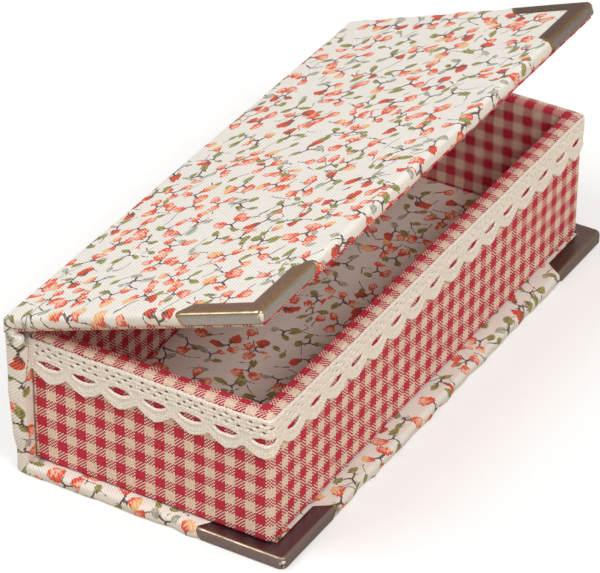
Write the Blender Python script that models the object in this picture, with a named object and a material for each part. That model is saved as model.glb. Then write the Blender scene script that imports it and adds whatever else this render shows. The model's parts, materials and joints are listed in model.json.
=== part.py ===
"""A cloth-covered glasses box with a book-style lid, built board by board.

X runs along the box, its opening side faces -Y, its spine lies at +Y and Z points up.
The origin is the centre of the underside. All sizes are in metres and all angles in radians.
"""

import math

import bmesh
import bpy
from mathutils import Matrix, Vector

# Cloth, and the gap that stands for each layer of glue
CLOTH_THICKNESS = 0.0003
PINCHED_CLOTH_THICKNESS = 0.0002
GLUE_GAP = 0.0003
TURN_IN_WIDTH = 0.0120

# Cover: base, spine and lid, measured over their cloth
COVER_LENGTH = 0.1792
COVER_WIDTH = 0.0823
COVER_BOARD_THICKNESS = 0.0020
COVER_CORNER_RADIUS = 0.0012
COVER_EDGE_RADIUS = 0.0008

# Lid lining
LID_LINING_CARD_THICKNESS = 0.0004
LID_LINING_MARGIN = 0.0010

# Tray
RIM_HEIGHT = 0.0436
TRAY_END_MARGIN = 0.0036
TRAY_FRONT_MARGIN = 0.0058
TRAY_CORNER_RADIUS = 0.0015
RIM_RADIUS = 0.0010
WALL_BOARD_THICKNESS = 0.0035
FLOOR_BOARD_THICKNESS = 0.0020
FLOOR_TURN_IN_WIDTH = 0.0080
FLOOR_CARD_THICKNESS = 0.0008
FLOOR_LINING_CLEARANCE = 0.0005

# Metal corners
METAL_THICKNESS = 0.0004
METAL_PROUD = 0.0004
METAL_LEG = 0.0265
METAL_ARM_WIDTH = 0.0054
METAL_END_SLANT = 0.0030
METAL_CORNER_RADIUS = 0.0020
METAL_CREASE_RADIUS = 0.0010
METAL_SEAM_WIDTH = 0.0012
METAL_SEAM_INSET = 0.0007

# Hinge
LID_REST_ANGLE = math.radians(20.8)
HINGE_CLOTH_ON_SPINE = 0.0050
HINGE_CLOTH_ON_LID = 0.0015
HINGE_LINING_ON_SPINE = 0.0080
HINGE_LINING_ON_LID = 0.0100

# Lace band
LACE_THICKNESS = 0.0010
LACE_HEIGHT = 0.0122
LACE_DROP = 0.0008
LACE_PERIOD = 0.0110
LACE_NOTCH_DEPTH = 0.0031
EYELET_LENGTH = 0.0060
EYELET_HEIGHT = 0.0022
EYELET_DROP = 0.0066

# How finely round shapes are drawn
CORNER_STEPS = 3
EDGE_STEPS = 2
CREASE_STEPS = 3
RIM_STEPS = 3
LACE_STEPS_PER_PERIOD = 6
SMOOTH_ANGLE = math.radians(40)
FACING_SHARE = 0.1
MITRE_LIMIT_SHARE = 0.5
MERGE_SHARE = 0.01
SLIVER_SHARE = 0.1

# How far a cutter runs past what it cuts
OVERRUN = 0.0030

# The layers that the sizes above add up to
LAYER = CLOTH_THICKNESS + GLUE_GAP
CASE_THICKNESS = COVER_BOARD_THICKNESS + 2 * LAYER
WALL_THICKNESS = WALL_BOARD_THICKNESS + 2 * LAYER
LID_LINING_THICKNESS = LAYER + LID_LINING_CARD_THICKNESS + GLUE_GAP

# Places across the box
HALF_LENGTH = COVER_LENGTH / 2
SPINE_FACE = COVER_WIDTH / 2
SPINE_INNER_FACE = SPINE_FACE - CASE_THICKNESS
TRAY_BACK = SPINE_INNER_FACE - GLUE_GAP
TRAY_FRONT = -COVER_WIDTH / 2 + TRAY_FRONT_MARGIN
TRAY_HALF_LENGTH = HALF_LENGTH - TRAY_END_MARGIN
TRAY_MIDDLE = (TRAY_FRONT + TRAY_BACK) / 2
TRAY_HALF_WIDTH = (TRAY_BACK - TRAY_FRONT) / 2

# Heights
TRAY_BOTTOM = CASE_THICKNESS + METAL_PROUD + GLUE_GAP
FLOOR_BOARD_BOTTOM = TRAY_BOTTOM + LAYER
FLOOR_BOARD_TOP = FLOOR_BOARD_BOTTOM + FLOOR_BOARD_THICKNESS
WALL_FOOT = FLOOR_BOARD_TOP + GLUE_GAP
BOARD_TOP = RIM_HEIGHT - LAYER
FLOOR_CARD_BOTTOM = WALL_FOOT + LAYER

# The hinge axis runs half a gap behind the spine, so that the lid folds flat back without rubbing
HINGE_SETBACK = GLUE_GAP / 2
HINGE_Y = SPINE_FACE + HINGE_SETBACK
HINGE_Z = RIM_HEIGHT + GLUE_GAP

SIDES = {"left": -1, "right": 1}


# Small helpers

def clear_scene():
    for item in list(bpy.data.objects):
        bpy.data.objects.remove(item, do_unlink=True)


def make_material(name, colour, roughness, metallic=0.0):
    """A plain Principled material."""
    material = bpy.data.materials.new(name)
    material.use_nodes = True
    shader = material.node_tree.nodes["Principled BSDF"]
    shader.inputs["Base Color"].default_value = (*colour, 1.0)
    shader.inputs["Roughness"].default_value = roughness
    shader.inputs["Metallic"].default_value = metallic
    material.diffuse_color = (*colour, 1.0)
    return material


def mesh_object(name, bm):
    """Turns a bmesh into an object with its faces pointing out."""
    bmesh.ops.recalc_face_normals(bm, faces=bm.faces)
    mesh = bpy.data.meshes.new(name)
    bm.to_mesh(mesh)
    bm.free()
    item = bpy.data.objects.new(name, mesh)
    bpy.context.collection.objects.link(item)
    return item


def combine(body, tool, operation):
    """Applies one exact Boolean to body and deletes the tool."""
    modifier = body.modifiers.new(operation.title(), "BOOLEAN")
    modifier.operation = operation
    modifier.object = tool
    depsgraph = bpy.context.evaluated_depsgraph_get()
    mesh = bpy.data.meshes.new_from_object(body.evaluated_get(depsgraph))
    body.modifiers.clear()
    body.data = mesh
    bpy.data.objects.remove(tool, do_unlink=True)


def cut(body, tool):
    combine(body, tool, "DIFFERENCE")


def join(body, tool):
    combine(body, tool, "UNION")


def finish(item, material, location=(0.0, 0.0, 0.0), parent=None):
    """Gives a piece its material, shading and place."""
    item.data.materials.clear()
    item.data.materials.append(material)
    item.data.shade_smooth()
    item.data.set_sharp_from_angle(angle=SMOOTH_ANGLE)
    item.location = location
    item.parent = parent
    return item


def is_upright(edge):
    top, bottom = (vertex.co for vertex in edge.verts)
    return abs(top.z - bottom.z) > abs(top.x - bottom.x) + abs(top.y - bottom.y)


def block(name, low, high, corner_radius=0.0, edge_radius=0.0, front_only=False):
    """A box between two corners. Its upright edges and its level edges can be rounded."""
    bm = bmesh.new()
    bmesh.ops.create_cube(bm, size=1.0)
    low, high = Vector(low), Vector(high)
    size = Matrix.Diagonal(high - low).to_4x4()
    bmesh.ops.transform(bm, matrix=Matrix.Translation((low + high) / 2) @ size, verts=bm.verts)
    middle = (low + high) / 2
    if corner_radius > 0:
        upright = [edge for edge in bm.edges if is_upright(edge)]
        if front_only:
            upright = [edge for edge in upright if edge.verts[0].co.y < middle.y]
        bmesh.ops.bevel(
            bm, geom=upright, offset=corner_radius, segments=CORNER_STEPS, profile=0.5, affect="EDGES"
        )
    if edge_radius > 0:
        level = [edge for edge in bm.edges if not is_upright(edge)]
        bmesh.ops.bevel(
            bm, geom=level, offset=edge_radius, segments=EDGE_STEPS, profile=0.5, affect="EDGES"
        )
    return mesh_object(name, bm)


def prism(name, outline, bottom, top):
    """An upright prism over an outline in plan."""
    bm = bmesh.new()
    face = bm.faces.new([bm.verts.new((x, y, bottom)) for x, y in outline])
    raised = bmesh.ops.extrude_face_region(bm, geom=[face])["geom"]
    lifted = [vertex for vertex in raised if isinstance(vertex, bmesh.types.BMVert)]
    bmesh.ops.translate(bm, verts=lifted, vec=(0.0, 0.0, top - bottom))
    return mesh_object(name, bm)


def ribbon_outline(points, thickness):
    """The outline of a strip of even thickness whose middle follows the points."""
    path = [Vector(point) for point in points]
    ahead = [(b - a).normalized() for a, b in zip(path, path[1:])]
    left, right = [], []
    for number, point in enumerate(path):
        before = ahead[max(number - 1, 0)]
        after = ahead[min(number, len(ahead) - 1)]
        mitre = (before + after).normalized()
        normal = Vector((-mitre.y, mitre.x))
        reach = thickness / 2 / max(mitre.dot(after), MITRE_LIMIT_SHARE)
        left.append(point + normal * reach)
        right.append(point - normal * reach)
    return left + right[::-1]


def lengthwise_strip(name, outline, half_length):
    """A strip along X whose cross-section is an outline in Y and Z."""
    bm = bmesh.new()
    ends = [[bm.verts.new((x, y, z)) for y, z in outline] for x in (-half_length, half_length)]
    bm.faces.new(ends[0])
    bm.faces.new(ends[1][::-1])
    count = len(outline)
    for number in range(count):
        following = (number + 1) % count
        bm.faces.new((ends[0][number], ends[1][number], ends[1][following], ends[0][following]))
    return mesh_object(name, bm)


# Cover cases: a board wrapped in cloth, in a frame with Y from the front edge and Z from the lower face

def metal_outline(side, grown=0.0, past=0.0):
    """The plate of a metal corner in plan, grown on its inner edges and run past its outer ones."""
    arm = METAL_ARM_WIDTH + grown
    slant = METAL_END_SLANT / METAL_ARM_WIDTH
    tip = METAL_LEG + grown * math.hypot(1.0, slant)
    inner_tip = tip - arm * slant
    points = [(-past, tip), (-past, -past), (tip, -past)] if past > 0 else [(0.0, 0.0)]
    points += [(tip, 0.0), (inner_tip, arm), (arm, arm), (arm, inner_tip), (0.0, tip)]
    corner_x = -HALF_LENGTH - METAL_PROUD
    return [(-side * (corner_x + along), -METAL_PROUD + across) for along, across in points]


def case_core(name, lower, upper, side_inset, back):
    """The slab that stays where the metal corners pinch the case."""
    low = (-HALF_LENGTH + side_inset, side_inset, lower)
    high = (HALF_LENGTH - side_inset, back, CASE_THICKNESS - upper)
    radius = METAL_CORNER_RADIUS - METAL_PROUD - side_inset
    return block(name, low, high, max(radius, 0.0), front_only=True)


# The metal's lower plate is let in flush with the case, and its upper plate stands proud
PINCH_LOWER = METAL_THICKNESS + GLUE_GAP
PINCH_UPPER = METAL_THICKNESS - METAL_PROUD + GLUE_GAP


def case_cloth(name, back, cloth_closes_back):
    """The cloth round a case, still without its windows."""
    cloth = block(
        name,
        (-HALF_LENGTH, 0.0, 0.0),
        (HALF_LENGTH, back, CASE_THICKNESS),
        COVER_CORNER_RADIUS,
        COVER_EDGE_RADIUS,
    )
    for side in SIDES.values():
        outline = metal_outline(side, GLUE_GAP, OVERRUN)
        sunk = prism("sunk", outline, -OVERRUN, CASE_THICKNESS + OVERRUN)
        cut(sunk, case_core("core", PINCH_LOWER, PINCH_UPPER, PINCH_UPPER, back + OVERRUN))
        cut(cloth, sunk)
    cavity_back = back - CLOTH_THICKNESS if cloth_closes_back else back + OVERRUN
    cavity = block(
        "cavity",
        (-HALF_LENGTH + CLOTH_THICKNESS, CLOTH_THICKNESS, CLOTH_THICKNESS),
        (HALF_LENGTH - CLOTH_THICKNESS, cavity_back, CASE_THICKNESS - CLOTH_THICKNESS),
        COVER_CORNER_RADIUS - CLOTH_THICKNESS,
        COVER_EDGE_RADIUS - CLOTH_THICKNESS,
    )
    for side in SIDES.values():
        outline = metal_outline(side, GLUE_GAP + PINCHED_CLOTH_THICKNESS, OVERRUN)
        cut(cavity, prism("kept", outline, -OVERRUN, CASE_THICKNESS + OVERRUN))
    lower = PINCH_LOWER + PINCHED_CLOTH_THICKNESS
    upper = PINCH_UPPER + PINCHED_CLOTH_THICKNESS
    join(cavity, case_core("core", lower, upper, upper, cavity_back - OVERRUN))
    cut(cloth, cavity)
    return cloth


def case_board(name, back):
    """The board in a case, thinned where the metal corners grip it."""
    board = block(
        name,
        (-HALF_LENGTH + LAYER, LAYER, LAYER),
        (HALF_LENGTH - LAYER, back, CASE_THICKNESS - LAYER),
        COVER_CORNER_RADIUS - LAYER,
        front_only=True,
    )
    inset = PINCHED_CLOTH_THICKNESS + GLUE_GAP
    lower = PINCH_LOWER + inset
    upper = PINCH_UPPER + inset
    for side in SIDES.values():
        outline = metal_outline(side, GLUE_GAP + inset, OVERRUN)
        thinned = prism("thinned", outline, -OVERRUN, CASE_THICKNESS + OVERRUN)
        cut(thinned, case_core("core", lower, upper, upper, back + OVERRUN))
        cut(board, thinned)
    return board


def metal_corner(name, side):
    """One folded sheet: an upper and a lower plate, two side flanges and an open seam between them."""
    height = CASE_THICKNESS + METAL_PROUD
    bm = bmesh.new()
    outline = metal_outline(side)
    face = bm.faces.new([bm.verts.new((x, y, 0.0)) for x, y in outline])
    raised = bmesh.ops.extrude_face_region(bm, geom=[face])["geom"]
    lifted = [vertex for vertex in raised if isinstance(vertex, bmesh.types.BMVert)]
    bmesh.ops.translate(bm, verts=lifted, vec=(0.0, 0.0, height))
    bmesh.ops.recalc_face_normals(bm, faces=bm.faces)
    corner_x, corner_y = outline[0]
    tip = [
        edge
        for edge in bm.edges
        if is_upright(edge) and (edge.verts[0].co.xy - Vector((corner_x, corner_y))).length < METAL_THICKNESS
    ]
    bmesh.ops.bevel(
        bm, geom=tip, offset=METAL_CORNER_RADIUS, segments=CORNER_STEPS, profile=0.5, affect="EDGES"
    )
    bm.normal_update()
    outer = [edge for edge in bm.edges if borders_outer_side(edge, side)]
    bmesh.ops.bevel(
        bm, geom=outer, offset=METAL_CREASE_RADIUS, segments=CREASE_STEPS, profile=0.5, affect="EDGES"
    )
    metal = mesh_object(name, bm)
    reach = METAL_LEG + OVERRUN
    inside = -HALF_LENGTH - METAL_PROUD + METAL_THICKNESS
    ends = sorted((-side * inside, -side * (inside + reach)))
    front = METAL_THICKNESS - METAL_PROUD
    slot = block(
        "slot",
        (ends[0], front, METAL_THICKNESS),
        (ends[1], front + reach, height - METAL_THICKNESS),
        METAL_CORNER_RADIUS - METAL_THICKNESS,
        METAL_CREASE_RADIUS - METAL_THICKNESS,
    )
    cut(metal, slot)
    cut(metal, seam_cutter(corner_x, corner_y, side, height))
    return metal


def borders_outer_side(edge, side):
    """True for a level edge of a side flange."""
    if is_upright(edge) or len(edge.link_faces) != 2:
        return False
    normals = [face.normal for face in edge.link_faces]
    faces_out = any(normal.x * side > FACING_SHARE or normal.y < -FACING_SHARE for normal in normals)
    return faces_out and any(abs(normal.z) > FACING_SHARE for normal in normals)


def seam_cutter(corner_x, corner_y, side, height):
    """A bar across the corner that opens the seam between the two side flanges."""
    depth = METAL_CORNER_RADIUS + METAL_THICKNESS
    bar = block(
        "seam",
        (-METAL_SEAM_WIDTH / 2, -depth, METAL_SEAM_INSET),
        (METAL_SEAM_WIDTH / 2, depth, height - METAL_SEAM_INSET),
    )
    turn = Matrix.Rotation(side * math.pi / 4, 4, "Z")
    bar.data.transform(Matrix.Translation((corner_x, corner_y, 0.0)) @ turn)
    return bar


# Base and lid

def build_base(cloth_material, board_material, metal_material):
    """The base case. Its cloth also runs under the spine board."""
    place = (0.0, -COVER_WIDTH / 2, 0.0)
    spine_start = COVER_WIDTH - CASE_THICKNESS - GLUE_GAP
    cloth = case_cloth("base_cover_cloth", COVER_WIDTH - LAYER, False)
    above = block(
        "above",
        (-HALF_LENGTH - OVERRUN, spine_start, CASE_THICKNESS / 2),
        (HALF_LENGTH + OVERRUN, COVER_WIDTH + OVERRUN, CASE_THICKNESS + OVERRUN),
    )
    cut(cloth, above)
    for side in SIDES.values():
        ends = sorted((side * (HALF_LENGTH - LAYER), side * (HALF_LENGTH + OVERRUN)))
        beside = block(
            "beside",
            (ends[0], spine_start, -OVERRUN),
            (ends[1], COVER_WIDTH + OVERRUN, CASE_THICKNESS + OVERRUN),
        )
        cut(cloth, beside)
    window = block(
        "window",
        (-HALF_LENGTH + TURN_IN_WIDTH, TURN_IN_WIDTH, CASE_THICKNESS - LAYER),
        (HALF_LENGTH - TURN_IN_WIDTH, COVER_WIDTH + OVERRUN, CASE_THICKNESS + OVERRUN),
    )
    cut(cloth, window)
    finish(cloth, cloth_material, place)
    finish(case_board("base_board", spine_start), board_material, place)
    for label, side in SIDES.items():
        finish(metal_corner("base_corner_" + label, side), metal_material, place)


def build_spine(cloth_material, board_material):
    """The spine board and its cloth, which turns in round both ends."""
    top = HINGE_Z - GLUE_GAP
    cloth = block("spine_cover_cloth", (-HALF_LENGTH, SPINE_INNER_FACE, 0.0), (HALF_LENGTH, SPINE_FACE, top))
    hollow = block(
        "hollow",
        (-HALF_LENGTH + CLOTH_THICKNESS, SPINE_INNER_FACE + CLOTH_THICKNESS, -OVERRUN),
        (HALF_LENGTH - CLOTH_THICKNESS, SPINE_FACE - CLOTH_THICKNESS, top + OVERRUN),
    )
    cut(cloth, hollow)
    window = block(
        "window",
        (-HALF_LENGTH + TURN_IN_WIDTH, SPINE_INNER_FACE - OVERRUN, -OVERRUN),
        (HALF_LENGTH - TURN_IN_WIDTH, SPINE_FACE - LAYER, top + OVERRUN),
    )
    cut(cloth, window)
    over_base = block(
        "over_base",
        (-HALF_LENGTH + CLOTH_THICKNESS, SPINE_INNER_FACE - OVERRUN, -OVERRUN),
        (HALF_LENGTH - CLOTH_THICKNESS, SPINE_FACE - LAYER, LAYER),
    )
    cut(cloth, over_base)
    hinge_room = block(
        "hinge_room",
        (-HALF_LENGTH - OVERRUN, SPINE_FACE - LAYER, HINGE_Z - HINGE_CLOTH_ON_SPINE - GLUE_GAP),
        (HALF_LENGTH + OVERRUN, SPINE_FACE + OVERRUN, HINGE_Z + OVERRUN),
    )
    cut(cloth, hinge_room)
    finish(cloth, cloth_material)
    board = block(
        "spine_board",
        (-HALF_LENGTH + LAYER, SPINE_INNER_FACE + LAYER, LAYER),
        (HALF_LENGTH - LAYER, SPINE_FACE - LAYER, BOARD_TOP),
    )
    finish(board, board_material)


def build_lid(axis, floral, gingham, board_material, card_material, metal_material):
    """The lid case and its lining, in the frame of the hinge axis with the lid closed."""
    front = -HINGE_SETBACK - COVER_WIDTH
    case_place = (0.0, front, LID_LINING_THICKNESS)
    cloth = case_cloth("lid_cover_cloth", COVER_WIDTH, True)
    window = block(
        "window",
        (-HALF_LENGTH + TURN_IN_WIDTH, TURN_IN_WIDTH, -OVERRUN),
        (HALF_LENGTH - TURN_IN_WIDTH, COVER_WIDTH - CLOTH_THICKNESS, LAYER),
    )
    cut(cloth, window)
    hinge_room = block(
        "hinge_room",
        (-HALF_LENGTH - OVERRUN, COVER_WIDTH - LAYER, -OVERRUN),
        (HALF_LENGTH + OVERRUN, COVER_WIDTH + OVERRUN, HINGE_CLOTH_ON_LID + GLUE_GAP - LID_LINING_THICKNESS),
    )
    cut(cloth, hinge_room)
    finish(cloth, floral, case_place, axis)
    finish(case_board("lid_board", COVER_WIDTH - LAYER), board_material, case_place, axis)
    for label, side in SIDES.items():
        finish(metal_corner("lid_corner_" + label, side), metal_material, case_place, axis)

    margin = LID_LINING_MARGIN
    low = Vector((-HALF_LENGTH + margin, front + margin, 0.0))
    high = Vector((HALF_LENGTH - margin, -HINGE_SETBACK - margin, LID_LINING_THICKNESS - GLUE_GAP))
    lining = block("lid_lining_cloth", low, high)
    inner = Vector((CLOTH_THICKNESS, CLOTH_THICKNESS, CLOTH_THICKNESS))
    room_high = (high.x - CLOTH_THICKNESS, high.y - CLOTH_THICKNESS, high.z + OVERRUN)
    cut(lining, block("room", low + inner, room_high))
    finish(lining, gingham, (0.0, 0.0, 0.0), axis)
    layer = Vector((LAYER, LAYER, LAYER))
    card = block("lid_lining_card", low + layer, (high.x - LAYER, high.y - LAYER, high.z))
    finish(card, card_material, (0.0, 0.0, 0.0), axis)


# Hinge cloths, each in one folded strip from the spine to the lid

def on_lid(y, z):
    """A point of the lid, given beside the hinge axis with the lid closed, where the lid stands open."""
    cosine, sine = math.cos(LID_REST_ANGLE), math.sin(LID_REST_ANGLE)
    return HINGE_Y + y * cosine + z * sine, HINGE_Z - y * sine + z * cosine


def build_hinge_cloth(material):
    """The outer cloth where it crosses the hinge."""
    middle = HINGE_SETBACK + CLOTH_THICKNESS / 2
    points = [
        (HINGE_Y - middle, HINGE_Z - HINGE_CLOTH_ON_SPINE),
        (HINGE_Y - middle, HINGE_Z),
        on_lid(-middle, CLOTH_THICKNESS),
        on_lid(-middle, HINGE_CLOTH_ON_LID),
    ]
    strip = lengthwise_strip("hinge_cloth", ribbon_outline(points, CLOTH_THICKNESS), HALF_LENGTH)
    finish(strip, material)


def build_hinge_lining(material):
    """The inner strip, glued to the inside of the spine and under the lid board."""
    half = CLOTH_THICKNESS / 2
    spine_leg = HINGE_SETBACK + CASE_THICKNESS - half
    fold = HINGE_SETBACK + LAYER + half
    spine_top = GLUE_GAP + half
    lid_level = LID_LINING_THICKNESS + half
    points = [
        (HINGE_Y - spine_leg, HINGE_Z - HINGE_LINING_ON_SPINE),
        (HINGE_Y - spine_leg, HINGE_Z - spine_top),
        (HINGE_Y - fold, HINGE_Z - spine_top),
        on_lid(-fold, lid_level),
        on_lid(-HINGE_LINING_ON_LID, lid_level),
    ]
    half_length = HALF_LENGTH - TURN_IN_WIDTH - GLUE_GAP
    strip = lengthwise_strip("hinge_lining", ribbon_outline(points, CLOTH_THICKNESS), half_length)
    finish(strip, material)


# Tray

def tray_point(side_x, side_y, turn, inward, height):
    """A point of the tray's skin at a rounded upright corner, so far inward from its outer face."""
    centre_x = TRAY_HALF_LENGTH - TRAY_CORNER_RADIUS
    centre_y = TRAY_HALF_WIDTH - TRAY_CORNER_RADIUS
    reach_x = reach_y = TRAY_CORNER_RADIUS - inward
    if inward < TRAY_CORNER_RADIUS:
        reach_x *= math.cos(turn)
        reach_y *= math.sin(turn)
    return (side_x * (centre_x + reach_x), TRAY_MIDDLE + side_y * (centre_y + reach_y), height)


def wall_cloth_path():
    """The middle line of the wall cloth: under the floor board, up, over the rim, down and onto the floor."""
    half = CLOTH_THICKNESS / 2
    rim = RIM_HEIGHT - half
    round_over = RIM_RADIUS - half
    path = [(TURN_IN_WIDTH, TRAY_BOTTOM + half), (half, TRAY_BOTTOM + half)]
    for step in range(RIM_STEPS + 1):
        turn = math.pi / 2 * step / RIM_STEPS
        path.append((RIM_RADIUS - round_over * math.cos(turn), rim - round_over * (1 - math.sin(turn))))
    for step in range(RIM_STEPS + 1):
        turn = math.pi / 2 * (1 - step / RIM_STEPS)
        inward = WALL_THICKNESS - RIM_RADIUS + round_over * math.cos(turn)
        path.append((inward, rim - round_over * (1 - math.sin(turn))))
    floor = WALL_FOOT + half
    path += [(WALL_THICKNESS - half, floor), (WALL_THICKNESS + FLOOR_TURN_IN_WIDTH, floor)]
    return path


def build_wall_cloth(material):
    """One cloth swept round the four walls, outside and inside."""
    outline = ribbon_outline(wall_cloth_path(), CLOTH_THICKNESS)
    bm = bmesh.new()
    rings = []
    for side_x, side_y in ((1, 1), (-1, 1), (-1, -1), (1, -1)):
        for step in range(CORNER_STEPS + 1):
            share = step / CORNER_STEPS
            if side_x * side_y < 0:
                share = 1 - share
            turn = math.pi / 2 * share
            ring = [bm.verts.new(tray_point(side_x, side_y, turn, *point)) for point in outline]
            rings.append(ring)
    count = len(outline)
    for ring, following in zip(rings, rings[1:] + rings[:1]):
        for number in range(count):
            after = (number + 1) % count
            bm.faces.new((ring[number], following[number], following[after], ring[after]))
    bmesh.ops.remove_doubles(bm, verts=bm.verts, dist=CLOTH_THICKNESS * MERGE_SHARE)
    bmesh.ops.dissolve_degenerate(bm, dist=CLOTH_THICKNESS * MERGE_SHARE, edges=bm.edges)
    finish(mesh_object("tray_wall_cloth", bm), material)


def build_tray_boards(board_material):
    """The floor board, and four wall boards that stand on it with butt joints."""
    reach_x = TRAY_HALF_LENGTH - LAYER
    front, back = TRAY_FRONT + LAYER, TRAY_BACK - LAYER
    radius = max(TRAY_CORNER_RADIUS - LAYER, 0.0)
    floor = block(
        "tray_floor_board", (-reach_x, front, FLOOR_BOARD_BOTTOM), (reach_x, back, FLOOR_BOARD_TOP), radius
    )
    finish(floor, board_material)
    for name, low_y in (("tray_front_board", front), ("tray_back_board", back - WALL_BOARD_THICKNESS)):
        high_y = low_y + WALL_BOARD_THICKNESS
        wall = block(name, (-reach_x, low_y, WALL_FOOT), (reach_x, high_y, BOARD_TOP), radius)
        finish(wall, board_material)
    low_y = front + WALL_BOARD_THICKNESS + GLUE_GAP
    high_y = back - WALL_BOARD_THICKNESS - GLUE_GAP
    for label, side in SIDES.items():
        ends = sorted((side * reach_x, side * (reach_x - WALL_BOARD_THICKNESS)))
        wall = block("tray_%s_board" % label, (ends[0], low_y, WALL_FOOT), (ends[1], high_y, BOARD_TOP))
        finish(wall, board_material)


def build_floor_lining(cloth_material, card_material):
    """A card wrapped in cloth that lies on the tray's floor."""
    inset = WALL_THICKNESS + FLOOR_LINING_CLEARANCE
    top = FLOOR_CARD_BOTTOM + FLOOR_CARD_THICKNESS + LAYER
    low = Vector((-TRAY_HALF_LENGTH + inset, TRAY_FRONT + inset, FLOOR_CARD_BOTTOM))
    high = Vector((TRAY_HALF_LENGTH - inset, TRAY_BACK - inset, top))
    cloth = block("floor_lining_cloth", low, high)
    room_low = (low.x + CLOTH_THICKNESS, low.y + CLOTH_THICKNESS, low.z - OVERRUN)
    inner = Vector((CLOTH_THICKNESS, CLOTH_THICKNESS, CLOTH_THICKNESS))
    cut(cloth, block("room", room_low, high - inner))
    finish(cloth, cloth_material)
    layer = Vector((LAYER, LAYER, LAYER))
    card = block("floor_lining_card", (low.x + LAYER, low.y + LAYER, low.z), high - layer)
    finish(card, card_material)


# Lace band, glued on round the front and both ends

LACE_OFFSET = GLUE_GAP
LACE_END_Y = TRAY_BACK
LACE_TURN = math.pi / 2 * (TRAY_CORNER_RADIUS + LACE_OFFSET)
LACE_END_RUN = LACE_END_Y - TRAY_FRONT - TRAY_CORNER_RADIUS
LACE_FRONT_RUN = 2 * (TRAY_HALF_LENGTH - TRAY_CORNER_RADIUS)
LACE_LENGTH = 2 * LACE_END_RUN + 2 * LACE_TURN + LACE_FRONT_RUN


def lace_place(along):
    """Where the lace's inner face lies and which way it faces, measured along the band from the left end."""
    half = LACE_LENGTH / 2
    side = -1 if along < half else 1
    from_middle = abs(along - half)
    straight = LACE_FRONT_RUN / 2
    radius = TRAY_CORNER_RADIUS + LACE_OFFSET
    centre_x, centre_y = TRAY_HALF_LENGTH - TRAY_CORNER_RADIUS, TRAY_FRONT + TRAY_CORNER_RADIUS
    if from_middle <= straight:
        return Vector((side * from_middle, centre_y - radius)), Vector((0.0, -1.0))
    turn = min((from_middle - straight) / radius, math.pi / 2)
    facing = Vector((side * math.sin(turn), -math.cos(turn)))
    rest = max(from_middle - straight - LACE_TURN, 0.0)
    return Vector((side * centre_x, centre_y + rest)) + facing * radius, facing


def lace_columns():
    """Distances along the band: even steps in each period, and steps round both corners."""
    periods = round(LACE_LENGTH / LACE_PERIOD)
    steps = periods * LACE_STEPS_PER_PERIOD
    columns = {LACE_LENGTH * step / steps for step in range(steps + 1)}
    for start in (LACE_END_RUN, LACE_LENGTH - LACE_END_RUN - LACE_TURN):
        columns |= {start + LACE_TURN * step / CORNER_STEPS for step in range(CORNER_STEPS + 1)}
    kept = []
    for column in sorted(columns):
        if not kept or column - kept[-1] > LACE_THICKNESS * SLIVER_SHARE:
            kept.append(column)
    return periods, kept


def build_lace(material):
    """A band with a scalloped lower edge and an eyelet over each scallop."""
    periods, columns = lace_columns()
    top = RIM_HEIGHT - LACE_DROP
    bm = bmesh.new()
    rings = []
    for along in columns:
        wave = abs(math.sin(math.pi * periods * along / LACE_LENGTH))
        bottom = top - LACE_HEIGHT + LACE_NOTCH_DEPTH * (1 - wave)
        inner, facing = lace_place(along)
        outer = inner + facing * LACE_THICKNESS
        corners = ((inner, bottom), (outer, bottom), (outer, top), (inner, top))
        rings.append([bm.verts.new((*point, height)) for point, height in corners])
    for ring, following in zip(rings, rings[1:]):
        for number in range(len(ring)):
            after = (number + 1) % len(ring)
            bm.faces.new((ring[number], ring[after], following[after], following[number]))
    bm.faces.new(rings[0])
    bm.faces.new(rings[-1][::-1])
    lace = mesh_object("lace_trim", bm)
    cut(lace, eyelet_cutters(periods, top - EYELET_DROP))
    finish(lace, material)


def eyelet_cutters(periods, height):
    """One six-sided bar through the band over each scallop that lies on a straight run."""
    half_length, half_height = EYELET_LENGTH / 2, EYELET_HEIGHT / 2
    outline_shares = [(-1, 0), (-0.5, -1), (0.5, -1), (1, 0), (0.5, 1), (-0.5, 1)]
    turns = (LACE_END_RUN + LACE_TURN / 2, LACE_LENGTH - LACE_END_RUN - LACE_TURN / 2)
    period = LACE_LENGTH / periods
    bm = bmesh.new()
    for number in range(periods):
        along = period * number + period / 2
        if min(abs(along - turn) for turn in turns) < half_length + LACE_TURN:
            continue
        inner, facing = lace_place(along)
        across = Vector((-facing.y, facing.x))
        ends = []
        for depth in (-OVERRUN, LACE_THICKNESS + OVERRUN):
            ring = []
            for share_along, share_up in outline_shares:
                point = inner + facing * depth + across * half_length * share_along
                ring.append(bm.verts.new((*point, height + half_height * share_up)))
            ends.append(ring)
        bm.faces.new(ends[0])
        bm.faces.new(ends[1][::-1])
        for corner in range(len(outline_shares)):
            after = (corner + 1) % len(outline_shares)
            bm.faces.new((ends[0][corner], ends[1][corner], ends[1][after], ends[0][after]))
    return mesh_object("eyelets", bm)


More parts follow.
